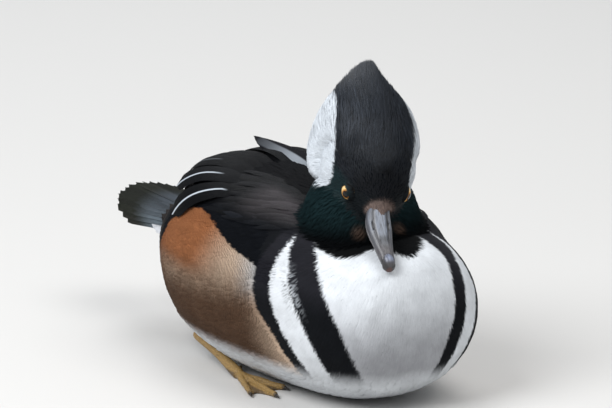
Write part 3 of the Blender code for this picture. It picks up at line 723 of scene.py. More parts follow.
def carried(roots, faces, lengths, stations, sway, seed):
    """Each feather's middle line, led from its root along the skin's lie: places and the ways outwards."""
    draw = np.random.default_rng(seed)
    turns = draw.normal(0, math.radians(sway), len(roots))
    middles = np.empty((len(roots), stations, 3))
    outward = np.empty((len(roots), stations, 3))
    ways = [Vector(way) for way in face_ways]
    lies = [Vector(lie) for lie in face_lies]
    for i, (root, face, length, turn) in enumerate(zip(roots, faces, lengths, turns)):
        place, face = Vector(root), int(face)
        step = length / (stations - 1)
        for j in range(stations):
            way = ways[face]
            middles[i, j] = place
            outward[i, j] = way
            lie = lies[face]
            ahead = lie * math.cos(turn) + way.cross(lie) * math.sin(turn)
            place, _, face, _ = skin_tree.find_nearest(place + ahead * step)
    return middles, outward


def painted(mesh, tints, bake, vane):
    """Writes each point's tint and its places in the two unwraps."""
    tint_field = mesh.attributes.new("Tint", "FLOAT_COLOR", "POINT")
    tint_field.data.foreach_set("color", tints.astype(np.float32).ravel())
    corner = array_of(mesh.loops, "vertex_index", 1, np.int32)[:, 0]
    for old in list(mesh.uv_layers):
        mesh.uv_layers.remove(old)
    for label, places in (("OFBake", bake), ("Vane", vane)):
        layer = mesh.uv_layers.new(name=label)
        layer.data.foreach_set("uv", places[corner].astype(np.float32).ravel())


def dressed(thing, material):
    """Gives a thing one finish and shades it smooth."""
    thing.data.materials.clear()
    thing.data.materials.append(material)
    thing.data.shade_smooth()


def mesh_of(name, points, triangles, material, tints, vane, bake, ways):
    """A mesh object from arrays: places in millimetres, triangles, each point's tint, unwraps and normal."""
    mesh = bpy.data.meshes.new(name)
    mesh.vertices.add(points.size // 3)
    mesh.vertices.foreach_set("co", (points * MM).astype(np.float32).ravel())
    flat = triangles.astype(np.int32).ravel()
    mesh.loops.add(len(flat))
    mesh.loops.foreach_set("vertex_index", flat)
    mesh.polygons.add(len(triangles))
    mesh.polygons.foreach_set("loop_start", np.arange(0, len(flat), 3, dtype=np.int32))
    mesh.update(calc_edges=True)
    painted(mesh, tints, bake.reshape(-1, 2), vane.reshape(-1, 2))
    made = bpy.data.objects.new(name, mesh)
    bpy.context.scene.collection.objects.link(made)
    dressed(made, material)
    mesh.normals_split_custom_set_from_vertices(unit(ways.reshape(-1, 3)).astype(np.float32))
    return made


def run_along(middles):
    """How far along each feather its stations lie, in centimetres."""
    steps = np.linalg.norm(np.diff(middles, axis=1), axis=-1)
    return np.concatenate([np.zeros((len(middles), 1)), np.cumsum(steps, axis=1)], axis=1) / 10


def for_each(faces, points):
    """One feather's faces, repeated for every feather in these points."""
    count, per = points.shape[:2]
    return (np.array(faces)[None] + per * np.arange(count)[:, None, None]).reshape(-1, 3)


def skin_unwrap(points):
    """An unwrap of the skin's own shape: round the body and along it, the head in a strip of its own."""
    x, y, z = points.T
    f, left, u = to_head(points).T
    body = np.stack([0.5 + np.arctan2(x, z - 55) / (2 * np.pi), (y + 115) / 300], -1)
    head = np.stack([0.5 + np.arctan2(left, u) / (2 * np.pi), (f + 80) / 100], -1)
    on_the_head = ((z > 96) & (y < 5))[:, None]
    over = np.where(on_the_head, head * (1, 0.42) + (0, 0.57), body * (1, 0.55))
    return 0.01 + 0.98 * np.clip(over, 0, 1)


def sideways(middles, outward):
    """The way across each feather at its stations."""
    return unit(np.cross(np.gradient(middles, axis=1), outward))


# No feather goes nearer the stand than this, in millimetres
LOWEST_FEATHER = 0.3
# How large a small feather's own patch is in the baked unwrap, of its whole width
BAKE_PATCH = 0.003


def feathers(name, middles, outward, halves, thick, material, tints, droop=0.08, rounding=0.25):
    """Small feathers as thin closed blades: a ridged top over a flat under side, drawn to a point."""
    count, stations = middles.shape[:2]
    side = sideways(middles, outward)
    half = halves[..., None]
    ring = np.stack([
        middles - side * half - outward * half * droop,
        middles + outward * (thick + 0.03 * half),
        middles + side * half - outward * half * droop,
    ], axis=2)[:, :-1]
    points = np.concatenate([ring.reshape(count, -1, 3), middles[:, -1:]], axis=1)
    per = points.shape[1]
    faces = []
    for s in range(stations - 2):
        for a in range(3):
            b = (a + 1) % 3
            p, q = 3 * s + a, 3 * s + b
            faces += [(p, q, q + 3), (p, q + 3, p + 3)]
    end = 3 * (stations - 2)
    faces += [(end + a, end + (a + 1) % 3, per - 1) for a in range(3)]
    faces += [(0, 2, 1)]
    points[..., 2] = np.maximum(points[..., 2], LOWEST_FEATHER)
    along = run_along(middles)
    across = np.stack([-halves, 0 * halves, halves], -1)[:, :-1] / 10
    vane = np.zeros((count, per, 2))
    vane[:, :-1, 0] = 0.5 + across.reshape(count, -1)
    vane[:, -1, 0] = 0.5
    vane[:, :-1, 1] = np.repeat(along[:, :-1], 3, axis=1)
    vane[:, -1, 1] = along[:, -1]
    vane[..., 1] += np.random.default_rng(5).random((count, 1))
    roots = skin_unwrap(middles[:, 0])
    patch = np.stack([vane[..., 0] - 0.5, np.linspace(-0.5, 0.5, per)[None].repeat(count, 0)], -1)
    patch[..., 0] /= np.maximum(np.abs(patch[..., 0]).max(axis=1, keepdims=True), 1e-6) * 2
    bake = roots[:, None] + BAKE_PATCH * patch
    if tints.ndim == 3:
        tints = np.repeat(tints[:, :, None], 3, axis=2)
    point_tints = np.concatenate([tints[:, :-1].reshape(count, -1, 4), tints[:, -1:, 1]], axis=1)
    soft = np.stack([outward - side * rounding, outward, outward + side * rounding], axis=2)
    ways = np.concatenate([soft[:, :-1].reshape(count, -1, 3), outward[:, -1:]], axis=1)
    return mesh_of(name, points, for_each(faces, points), material, point_tints, vane, bake, ways)


def plumage_finish(name, rough, sheen, streak, bump, bars=0.0, specular=0.12):
    """Feather as it is seen: each place's tint, darker and lighter barbs, and bars across the flank's."""
    made, shader, grow = finish(name)
    tint = grow("Attribute", {}, attribute_name="Tint")
    place = grow("TexCoord", {}).outputs["Object"]
    stretch = grow("Mapping", {"Vector": grow("UVMap", {}, uv_map="Vane"), "Scale": (150, 9, 1)})
    barb_noise = {"Vector": stretch, "Scale": 1, "Detail": 2, "Roughness": 0.6}
    barbs = grow("TexNoise", barb_noise, noise_dimensions="2D")
    patches = grow("TexNoise", {"Vector": place, "Scale": 95, "Detail": 3, "Roughness": 0.55})
    barb_tone = grow("MapRange", {0: barbs, 1: 0.3, 2: 0.7, 3: 1 - streak, 4: 1 + streak})
    patch_tone = grow("MapRange", {0: patches, 1: 0.3, 2: 0.7, 3: 0.9, 4: 1.1})
    shade = grow("Math", {0: barb_tone, 1: patch_tone}, operation="MULTIPLY")
    if bars:
        wave = {
            "Vector": place, "Scale": 262, "Distortion": 5,
            "Detail": 2, "Detail Scale": 0.35, "Detail Roughness": 0.6,
        }
        wavy = grow("TexWave", wave, bands_direction="Y").outputs["Fac"]
        cut = grow("MapRange", {0: wavy, 1: 0.25, 2: 0.75, 3: 1 - bars, 4: 1 + 0.15 * bars})
        fade = grow("Mix", {0: tint.outputs["Alpha"], 2: 1.0, 3: cut}, data_type="FLOAT")
        shade = grow("Math", {0: shade, 1: fade}, operation="MULTIPLY")
    wire(shader, {
        "Base Color": grow("VectorMath", {0: tint, "Scale": shade}, operation="SCALE"),
        "Normal": grow("Bump", {"Strength": bump, "Distance": 0.0003, "Height": barbs}),
        "Roughness": rough, "Specular IOR Level": specular,
        "Sheen Weight": sheen, "Sheen Roughness": 0.45,
    })
    return made


flat_skin = skin_unwrap(skin_points)
painted(skin.data, plumage(skin_points, skin_region), flat_skin, flat_skin)
skin_finish = plumage_finish("down_under_plumage", 0.85, 0.0, 0.2, 0.2, specular=0.05)
dressed(skin, skin_finish)
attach(skin, "root")
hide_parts("torso", "neck", "head")


# The body's small feathers, laid row over row: silky and fine on the breast, long and soft on the
# flanks, back and folded wings, plain below. Each is a thin blade rooted in the skin that lies
# along the body and shows only its end.
# Along each kind of blade: how wide it is, of its half width, and how high it stands, of its lift
BLADE_SHAPE = np.array((0.6, 0.95, 1.0, 0.72, 0))
BLADE_RISE = np.array((-0.8, 0.1, 0.55, 0.8, 0.9))
TUFT_SHAPE = np.array((0.8, 1.0, 0.7, 0))
TUFT_RISE = np.array((-0.8, 0.3, 0.8, 1.0))
PLUME_SHAPE = np.array((0.5, 0.8, 1.0, 1.0, 0.85, 0.6, 0))
PLUME_RISE = np.array((-0.8, 0.2, 0.7, 0.95, 1.0, 1.0, 0.9))
face_looks = plumage(face_middles, face_region)
flank_share = face_looks[:, 3]
face_x, face_y, face_z = face_middles.T


def in_region(*names):
    return np.isin(face_region, [REGIONS.index(name) for name in names])


def tints_along(middles, region, draw, spread=0.06, shake=0.5):
    """Each feather's colours along it, a little off the true border, and lighter or darker than the next."""
    count, stations = middles.shape[:2]
    shaken = middles + draw.normal(0, shake, (count, 1, 3))
    tints = plumage(shaken.reshape(-1, 3), np.repeat(region, stations)).reshape(count, stations, 4)
    # Painted shade: feathers low on the flank are darkened towards the same deep brown, each by a random
    # amount.
    low = tints[..., 3:] * (1 - rise(middles[..., 2:], 46, 74)) * rise(middles[..., 1:2], -40, -16)
    shadow = (0.75 * low * draw.random((count, 1, 1)) ** 1.5)[..., 0]
    tints[..., :3] = laid_over(tints[..., :3], COLOURS["low_flank_shade"], shadow)
    pale = rise(tints[..., :3].mean(axis=-1, keepdims=True), 0.1, 0.45)
    tints[..., :3] *= np.exp(draw.normal(0, spread, (count, 1, 1)) * (1 - 0.75 * pale))
    return np.clip(tints, 0, 0.9)


def coat(
    name, allowed, spacing, length, half, lift, sway, look, seed,
    shape=BLADE_SHAPE, climb=BLADE_RISE, thick=0.1, spread=0.06,
):
    """Sows one group of feathers and lays them along the skin, each with its colours across and along it."""
    draw = np.random.default_rng(seed)
    roots, faces = sown(allowed, spacing, seed)
    lengths = length * draw.uniform(0.82, 1.18, len(roots))
    middles, outward = carried(roots, faces, lengths, len(shape), sway, seed + 1)
    halves = half * shape * draw.uniform(0.85, 1.15, (len(roots), 1))
    to_edge = (sideways(middles, outward) * halves[..., None])[:, :, None]
    vane_places = (middles[:, :, None] + to_edge * np.array((-1, 0, 1))[:, None]).reshape(len(roots), -1, 3)
    tints = tints_along(vane_places, face_region[faces], draw, spread, 0.3)
    tints = tints.reshape(*middles.shape[:2], 3, 4)
    climbs = climb * lift * draw.uniform(0.75, 1.25, (len(roots), 1))
    middles = middles + outward * climbs[..., None]
    made = feathers(name, middles, outward, halves, thick, look, tints)
    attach(made, "root")
    return made


BELLY_TOP = 24
low_down = face_z < BELLY_TOP
on_torso = in_region("torso")
on_side = on_torso | in_region("wing")
front_of_wing = in_region("wing") & (face_y < -30) & (face_z < 97)
flank_gap = np.abs(face_z - np.interp(face_y, *FLANK_TOP.T))
at_flank_edge = on_side & (flank_gap < 5.5) & (face_y > -45) & (face_y < 88)
elsewhere = ~low_down & ~at_flank_edge
on_breast = (on_torso | front_of_wing) & (face_y < -26) & (flank_share < 0.5) & elsewhere
on_flank = on_side & (flank_share >= 0.5) & elsewhere
on_back = (on_side | in_region("tail")) & ~on_breast & ~on_flank & elsewhere
silk = plumage_finish("breast_feather", 0.8, 0.03, 0.03, 0.08, specular=0.06)
barred = plumage_finish("flank_feather", 0.75, 0.0, 0.12, 0.25, bars=0.8, specular=0.03)
dusky = plumage_finish("back_feather", 0.6, 0.0, 0.4, 0.3, specular=0.02)
for name, allowed, spacing, length, half, lift, sway, look, seed, slot in (
    ("breast_right", on_breast & (face_x < -6), 1.1, 8.0, 0.85, 0.18, 3, silk, 11, "white_plumage"),
    ("breast_left", on_breast & (face_x >= -6), 1.1, 8.0, 0.85, 0.18, 3, silk, 21, "white_plumage"),
    ("flank_right", on_flank & (face_x < 0), 1.5, 9.0, 1.1, 0.5, 5, barred, 31, "white_plumage"),
    ("flank_left", on_flank & (face_x > 0), 1.5, 9.0, 1.1, 0.5, 5, barred, 41, "white_plumage"),
    ("flank_edge", at_flank_edge, 0.95, 5.0, 0.55, 0.8, 6, barred, 45, "white_plumage"),
    ("back_plumage", on_back, 2.0, 13.0, 1.5, 0.6, 5, dusky, 51, "wing_plumage"),
    ("belly_plumage", on_torso & low_down, 2.3, 10.0, 1.7, 0.8, 8, silk, 61, "white_plumage"),
):
    piece = coat(name, allowed, spacing, length, half, lift, sway, look, seed)

# The scapulars: long soft plumes that drape from the shoulders over the folded wings, near black
# with paler streaks along them, where a painted sheen lies. They are laid loose over the shorter feathers.
on_shoulder = in_region("wing") & (face_y < 14) & (face_z > 97) & (np.abs(face_x) > 13)
wear_and_sheen = plumage_finish("scapular_plume", 0.55, 0.0, 0.5, 0.3, specular=0.05)
for side, label in ((-1, "right"), (1, "left")):
    piece = coat(
        "scapulars_" + label, on_shoulder & (face_x * side > 0), 3.2, 30, 2.3, 1.1, 4, wear_and_sheen, 151 + side,
        PLUME_SHAPE, PLUME_RISE, 0.2, 0.3,
    )

# The neck's and face's feathers, so fine that they look like fur: narrow tapered tufts, long and
# silky over the white patch of the hood, shorter on the neck and nape, and shortest round the eyes
# and at the base of the bill.
head_places = to_head(face_middles)
on_head = in_region("head", "crest")
eye_near = np.minimum(*(
    np.linalg.norm(head_places - (2.4, side * 16.5, 0.7), axis=1) for side in (-1, 1)
))
LID_REACH = 3.7
HORN_FROM = 14.6
FACE_FROM = 4.5
bare = (eye_near < LID_REACH) | (head_places[:, 0] > HORN_FROM)
fine_face = ((head_places[:, 0] > FACE_FROM) | (eye_near < 10)) & on_head & ~bare
hooded = on_head & (face_looks[:, 0] > 0.3) & ~bare
velvet = plumage_finish("velvet_feather", 0.6, 0.0, 0.3, 0.3, specular=0.13)
sooty = plumage_finish("neck_feather", 0.7, 0.0, 0.3, 0.3, specular=0.02)
for name, allowed, spacing, length, half, lift, sway, look, seed in (
    ("neck_right", in_region("neck") & (face_x < -5), 0.98, 5.6, 0.5, 0.9, 9, sooty, 71),
    ("neck_left", in_region("neck") & (face_x >= -5), 0.98, 5.6, 0.5, 0.9, 9, sooty, 81),
    ("head_plumage", on_head & ~fine_face & ~bare, 0.9, 4.4, 0.46, 0.8, 9, velvet, 91),
    ("face_plumage", fine_face, 0.68, 2.5, 0.34, 0.6, 12, velvet, 171),
    ("hood_plumage", hooded, 0.9, 11, 0.55, 0.9, 5, velvet, 181),
):
    piece = coat(
        name, allowed, spacing, length, half, lift, sway, look, seed, TUFT_SHAPE, TUFT_RISE, 0.12, 0.13
    )


# The crest: long hair-fine feathers that stand up from the crown and nape in a fan, the front ones
# sweeping up its edge to a peak. They spring from the quick in the skin, and their ends make the
# outline. The white patch lies on both sides inside a black rim.
LOCK_SHAPE = np.array((0.7, 1.0, 0.95, 0.7, 0.4, 0))
CREST_SPAN = (-34, 150)
# Steps that fill a square evenly when they are added again and again, less the whole numbers
EVEN_STEPS = (0.7548776662, 0.5698402910)


def even_pairs(count, offset):
    """Pairs of numbers from 0 to 1, spread evenly."""
    steps = np.arange(1, count + 1)
    return [np.mod(offset + steps * step, 1) for step in EVEN_STEPS]


def crest_locks(side, count, seed, turns, root_turn, width):
    """Middle lines of locks whose ends lie at these turns on one side of the fan, or on its rim."""
    draw = np.random.default_rng(seed)
    along, over = even_pairs(count, draw.random())
    spans = np.linspace(*CREST_SPAN, 200)
    heap = np.cumsum(through(CREST_SIDES[side], spans)[:, 0])
    angle_end = np.interp(along * heap[-1], heap, spans)
    turn_end = turns[0] + (turns[1] - turns[0]) * over
    sweep = 6 + 20 * (1 - rise(angle_end, 48, 80)) * rise(angle_end, -36, 10)
    sweep = sweep + draw.normal(0, 1.8, count)
    spread = 0.1 + 0.9 * np.maximum(rise(angle_end, 46, 86), rise(turn_end, 40, 70))
    turn_start = np.minimum(turn_end + root_turn * spread * draw.uniform(0.8, 1.15, count), 116)
    turn_end = turn_end + draw.normal(0, 1.4, count)
    t = np.linspace(0, 1, len(LOCK_SHAPE))
    angle = np.clip(angle_end[:, None] - sweep[:, None] * (1 - t) ** 1.3, -36, 153)
    turn = turn_start[:, None] + (turn_end - turn_start)[:, None] * t
    settle = np.minimum(1, t / 0.55)
    share = 0.86 + 0.14 * settle
    rimward = np.clip(1 - np.abs(turn) / 70, 0, 1)
    out_share = 1 - (1 - (0.52 + 0.48 * t)) * rimward
    lift = (-1.0 + 1.3 * settle) + np.abs(draw.normal(0, 0.45, (count, 1))) * t**2
    places = crest_place(side, angle, turn, share, out_share, lift)
    beyond = crest_place(side, angle + 2, turn, share, out_share, lift) - places
    within = places - crest_place(side, angle, turn + 2, share, out_share, lift)
    outward = unit(np.cross(beyond, within))
    back, round_rim = np.radians(angle), np.radians(turn)[..., None]
    radial = np.stack([-np.sin(back), 0 * angle, np.cos(back)], -1)
    away = radial * np.cos(round_rim) + np.array((0, side, 0)) * np.sin(round_rim)
    outward *= np.where((outward * away).sum(axis=-1, keepdims=True) < 0, -1, 1)
    rim_share = np.clip(1 - np.abs(turn) / 60, 0, 1) ** 1.5
    outward = unit(outward + radial * (1.5 * rim_share)[..., None])
    halves = width * LOCK_SHAPE * draw.uniform(0.75, 1.25, (count, 1))
    return from_head(places), outward @ HEAD_AXES.T, halves, draw


glossy = plumage_finish("crest_feather", 0.5, 0.0, 0.16, 0.3, specular=0.2)
for label, side, count, turns, root_turn, seed in (
    ("crest_right", -1, 6800, (5, 104), 34, 101),
    ("crest_left", 1, 6800, (5, 104), 34, 111),
    ("crest_edge_right", -1, 3000, (-7, 28), 20, 121),
    ("crest_edge_left", 1, 3000, (-7, 28), 20, 131),
):
    middles, outward, halves, draw = crest_locks(side, count, seed, turns, root_turn, 0.52)
    tints = tints_along(middles, np.full(count, REGIONS.index("crest")), draw, 0.3, 0.45)
    piece = feathers(label, middles, outward, halves, 0.14, glossy, tints)
    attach(piece, "root")
    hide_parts("crest")

# The folded wings: long quills under broad tertials, each a vane on a shaft, thin and a little
# arched, rooted in the wing's padding. The tertials are black, the lower ones with a white line
# along the shaft.
# Feathers, from the back to the side: y, turn and lift of the root, then of the tip
PRIMARIES = [(44 - k * 0.8, 10 + 4 * k, -3, 126 - 3.6 * k, 20 + 2.8 * k, -2.4 + 0.3 * k) for k in range(6)]
TERTIALS = [
    (28, 6, -3, 98, 16, 0.3), (26, 13, -3, 95, 24, 0.4), (23, 20, -3, 89, 35, 0.6), (18, 28, -3, 76, 52, 0.9),
    (14, 36, -3, 67, 68, 1.1),
]
# How white each tertial's shaft line is, and how far along the feather it starts
WHITE_LINES = ((0, 0.5), (0, 0.5), (0.15, 0.55), (0.9, 0.42), (1, 0.26))
VANE_STATIONS = np.linspace(0, 1, 15)
VANE_COLUMNS = np.linspace(-1, 1, 9)


def vane_outline(t, blunt=0.2):
    """Half width along a vane: narrow at the root, full by the middle, rounded at the end."""
    root = 0.5 + 0.5 * rise(t, 0, 0.42)
    end = np.sqrt(np.clip(1 - (np.clip(t - (1 - blunt), 0, 1) / blunt) ** 2, 0, 1))
    return root * (0.03 + 0.97 * end)


def vanes(name, middles, outward, halves, thick, material, tints, arch=0.1, seed=1, ragged=0.35):
    """Large feathers as closed blades with a raised shaft, arched across, and finely ragged ends."""
    draw = np.random.default_rng(seed)
    count, stations = middles.shape[:2]
    columns = len(VANE_COLUMNS)
    ahead = unit(np.gradient(middles, axis=1))[:, :, None]
    side = sideways(middles, outward)[:, :, None]
    ups = np.cross(side, ahead)
    across = VANE_COLUMNS[None, None, :, None]
    down_it = VANE_STATIONS[None, :, None, None]
    half = halves[:, :, None, None]
    sag = -arch * half * across**2
    shaft = np.clip(1 - np.abs(across) / 0.12, 0, 1) * 0.22 * (1 - down_it)
    frayed = draw.normal(0, ragged, (count, 1, columns, 1)) * down_it**6
    body = middles[:, :, None] + side * half * across + ups * sag + ahead * frayed
    edge = thick * (1 - 0.75 * np.abs(across) ** 3)
    top = body + ups * (edge / 2 + shaft)
    under = body - ups * edge / 2
    points = np.concatenate([top.reshape(count, -1, 3), under.reshape(count, -1, 3)], axis=1)
    ways = (ups + side * 2 * arch * across).reshape(count, -1, 3)
    ways = np.concatenate([ways, -ways], axis=1)
    layer = stations * columns
    faces = []
    for s in range(stations - 1):
        for c in range(columns - 1):
            a = s * columns + c
            b, d = a + 1, a + columns
            e = d + 1
            faces += [(a, b, e), (a, e, d)]
            faces += [(layer + a, layer + e, layer + b), (layer + a, layer + d, layer + e)]
        for c, order in ((0, 1), (columns - 1, -1)):
            a, b = s * columns + c, (s + 1) * columns + c
            quad = [(a, b, layer + b), (a, layer + b, layer + a)]
            faces += [q[::order] for q in quad]
    for s, order in ((0, -1), (stations - 1, 1)):
        for c in range(columns - 1):
            a, b = s * columns + c, s * columns + c + 1
            quad = [(a, b, layer + b), (a, layer + b, layer + a)]
            faces += [q[::order] for q in quad]
    points[..., 2] = np.maximum(points[..., 2], LOWEST_FEATHER)
    along = run_along(middles)[:, :, None]
    flat = np.stack(np.broadcast_arrays(0.5 + halves[:, :, None] * VANE_COLUMNS / 10, along), -1)
    vane_uv = np.concatenate([flat.reshape(count, -1, 2)] * 2, axis=1)
    cells = math.ceil(math.sqrt(count))
    corner = np.stack([np.arange(count) % cells, np.arange(count) // cells], -1)[:, None] / cells
    inside = np.stack(np.broadcast_arrays(VANE_COLUMNS[None] / 2 + 0.5, VANE_STATIONS[:, None]), -1)
    inside = np.concatenate([inside.reshape(1, -1, 2)] * 2, axis=1)
    bake = corner + (0.05 + 0.9 * inside) / cells
    if tints.ndim == 2:
        tints = np.repeat(tints[:, None], stations, axis=1)
    looks = np.concatenate([np.repeat(tints, columns, axis=1)] * 2, axis=1)
    return mesh_of(name, points, for_each(faces, points), material, looks, vane_uv, bake, ways)


def quill_finish(name, rough, streak, stripe=0.0, pale_edge=0.0):
    """A large feather's web: barbs at a slant to the shaft, a dark or white shaft line, a worn paler edge."""
    made, shader, grow = finish(name)
    tint = grow("Attribute", {}, attribute_name="Tint")
    parts = grow("SeparateXYZ", {0: grow("UVMap", {}, uv_map="Vane")})
    off = grow("Math", {0: parts.outputs["X"], 1: 0.5}, operation="SUBTRACT")
    away = grow("Math", {0: off}, operation="ABSOLUTE")
    slant = grow("Math", {0: away, 1: -1.3, 2: parts.outputs["Y"]}, operation="MULTIPLY_ADD")
    lines = grow("CombineXYZ", {"X": slant, "Y": away})
    stretch = grow("Mapping", {"Vector": lines, "Scale": (60, 5, 1)})
    barb_noise = {"Vector": stretch, "Scale": 1, "Detail": 3, "Roughness": 0.65}
    barbs = grow("TexNoise", barb_noise, noise_dimensions="2D")
    tone = grow("MapRange", {0: barbs, 1: 0.3, 2: 0.7, 3: 1 - streak, 4: 1 + streak})
    colour = grow("VectorMath", {0: tint, "Scale": tone}, operation="SCALE").outputs[0]
    if pale_edge:
        wear = {0: away, 1: 0.30, 2: 0.52, 3: 0, 4: pale_edge}
        wear_and_sheen = grow("MapRange", wear, interpolation_type="SMOOTHSTEP")
        edge = grow("Mix", {0: wear_and_sheen, 6: colour, 7: (0.13, 0.115, 0.11, 1)}, data_type="RGBA")
        colour = edge.outputs[2]
    if stripe:
        near_shaft = {0: away, 1: stripe, 2: stripe * 0.62, 3: 0, 4: 1}
        line = grow("MapRange", near_shaft, interpolation_type="SMOOTHSTEP")
        shown = grow("Math", {0: line, 1: tint.outputs["Alpha"]}, operation="MULTIPLY")
        white = grow("Mix", {0: shown, 6: colour, 7: (0.44, 0.48, 0.53, 1)}, data_type="RGBA")
        colour = white.outputs[2]
    relief = grow("Bump", {"Strength": 0.35, "Distance": 0.0003, "Height": barbs})
    wire(shader, {"Base Color": colour, "Normal": relief, "Roughness": rough, "Specular IOR Level": 0.03})
    return made


wing_finish = quill_finish("wing_quill", 0.5, 0.35, pale_edge=0.15)
tertial_finish = quill_finish("striped_tertial", 0.5, 0.3, stripe=0.068)


def wing_tier(side, rows, half, seed):
    """Feathers of a folded wing, led over its outside from inside the padding."""
    draw = np.random.default_rng(seed)
    rows = np.array(rows, float)
    root, tip = rows[:, :3], rows[:, 3:] + draw.normal(0, 1, (len(rows), 3)) * (1.2, 0.6, 0.1)
    t = VANE_STATIONS
    y = root[:, :1] + (tip - root)[:, :1] * t
    turn = root[:, 1:2] + (tip - root)[:, 1:2] * (0.35 * t + 0.65 * t**2)
    lift = root[:, 2:] + (tip - root)[:, 2:] * np.minimum(1, t / 0.3)
    middles, outward = fold_place(y, turn, lift)
    flip = np.array((side, 1, 1))
    halves = half * vane_outline(t)[None] * draw.uniform(0.94, 1.06, (len(rows), 1))
    return middles * flip, outward * flip, halves


def quill_tints(count, colour, draw):
    """One colour for each feather, lighter or darker than the next, with no white line."""
    tints = np.ones((count, 4)) * (*colour, 0)
    tints[:, :3] *= np.exp(draw.normal(0, 0.12, (count, 1)))
    return tints


for side, label in ((-1, "right"), (1, "left")):
    seed = 200 + 20 * (side > 0)
    middles, outward, halves = wing_tier(side, PRIMARIES, 5.0, seed)
    tints = quill_tints(len(middles), (0.011, 0.0095, 0.0095), np.random.default_rng(seed + 7))
    piece = vanes(f"primaries_{label}", middles, outward, halves, 0.4, wing_finish, tints, seed=seed)
    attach(piece, "root")
    middles, outward, halves = wing_tier(side, TERTIALS, 6.8, seed + 1)
    strong, begins = np.array(WHITE_LINES, float).T[..., None]
    tints = quill_tints(len(middles), (0.0034, 0.0037, 0.0045), np.random.default_rng(seed + 8))
    tints = np.repeat(tints[:, None], len(VANE_STATIONS), axis=1)
    tints[..., 3] = strong * rise(VANE_STATIONS - begins, -0.05, 0.05)
    piece = vanes(f"tertials_{label}", middles, outward, halves, 0.4, tertial_finish, tints, seed=seed + 1)
    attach(piece, "root")
    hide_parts("wing_" + label)

# The one tertial of the left wing that stands up from the back, twisted to show its pale inner
# web. A long feather like its neighbours, fixed by its root among them.
RAISED_PATH = np.array((
    (11, 16, 109), (10, 28, 111.5), (9.4, 38, 113.8), (8.4, 47, 115.3), (7, 59, 116.8), (6, 67, 118),
    (5.4, 73, 119.6),
))
t = VANE_STATIONS
path_places = np.linspace(0, 1, len(RAISED_PATH))
middles = np.stack([np.interp(t, path_places, RAISED_PATH[:, axis]) for axis in range(3)], -1)[None]
outward = np.broadcast_to(np.array((-0.5, -0.42, 0.76)), middles.shape)
halves = np.interp(t, (0, 0.2, 0.4, 0.6, 0.8, 0.92, 1), (7.2, 7, 6.2, 4.9, 3.2, 1.7, 0.3))[None]
web_tints = np.tile(np.array((0.007, 0.007, 0.009, 1)), (1, len(t), 1))
web_tints[0, :, 3] = 0.4 * hump(t, 0.3, 0.5) + 0.1 * (1 - rise(t, 0.8, 0.95))
raised_finish = quill_finish("raised_tertial_web", 0.55, 0.5, stripe=0.3)
raised = vanes("raised_tertial", middles, outward, halves, 0.4, raised_finish, web_tints, seed=260)
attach(raised, "root")

# The tail: a flat fan of stiff feathers, dark above with a greenish gloss to the tips and greyer at
# the base, with soft coverts over and under its root. The under ones are pale and spread a little
# wider, so that they show as a light streak beside it.
TAIL_CENTRE = np.array((0, 90, 62.5))
TAIL_PAIRS = 9
TAIL_SPREAD = 24
TAIL_BASE = (0.036, 0.043, 0.052)
TAIL_OUTER_BASE = (0.1, 0.125, 0.145)
TAIL_TIP = (0.0085, 0.0095, 0.0065)


def tail_row(turns, lifts, slopes, start, lengths, half, seed):
    """Feathers fanned from the tail's root: middle lines, the ways outwards and half widths."""
    t = VANE_STATIONS
    out = start + (lengths[:, None] - start) * t
    up = lifts[:, None] + out * 0.045
    turns = np.radians(turns)[:, None] + 0 * out
    middles = TAIL_CENTRE + np.stack([out * np.sin(turns), out * np.cos(turns), up], -1)
    outward = unit(np.stack(np.broadcast_arrays(slopes[:, None], 0 * out, 1.0), -1))
    draw = np.random.default_rng(seed)
    halves = half * (0.4 + 0.6 * t[None] ** 0.5) * vane_outline(t, 0.14)[None]
    return middles, outward, halves * draw.uniform(0.95, 1.05, (len(lengths), 1))


tail_finish = quill_finish("tail_quill", 0.55, 0.4, pale_edge=0.05)
places = np.arange(TAIL_PAIRS)
outer = places / (TAIL_PAIRS - 1)
turns = TAIL_SPREAD * (places + 0.5) / TAIL_PAIRS
turns = np.concatenate([turns, -turns])
drop = 5 * outer**2
lifts = np.concatenate([3.0 - 0.36 * (places + 0.5) - drop, 3.0 - 0.36 * places - drop])
lengths = np.tile(97 - 26 * outer**2, 2)
slopes = np.sign(turns) * (0.1 + 0.33 * np.tile(outer, 2))
middles, outward, halves = tail_row(turns, lifts, slopes, 24, lengths, 6.6, 301)
draw = np.random.default_rng(302)
tail_tints = np.ones((len(turns), len(VANE_STATIONS), 4))
base = np.full((len(turns), 3), TAIL_BASE)
base = laid_over(base, TAIL_OUTER_BASE, 0.85 * np.tile(outer, 2) ** 1.5)
base = np.repeat(base[:, None], len(VANE_STATIONS), axis=1)
near_tip = np.tile(rise(VANE_STATIONS, 0.5, 0.8), (len(turns), 1))
tail_tints[..., :3] = laid_over(base, TAIL_TIP, near_tip)
tail_tints[..., :3] *= np.exp(draw.normal(0, 0.15, (len(turns), 1, 1)))
tail = vanes(
    "tail_feathers", middles, outward, halves, 0.28, tail_finish, tail_tints,
    arch=0.06, seed=303, ragged=1.1,
)
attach(tail, "root")
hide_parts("tail")
COVERT_ROWS = 3
COVERTS_IN_ROW = 11
coverts = COVERT_ROWS * COVERTS_IN_ROW
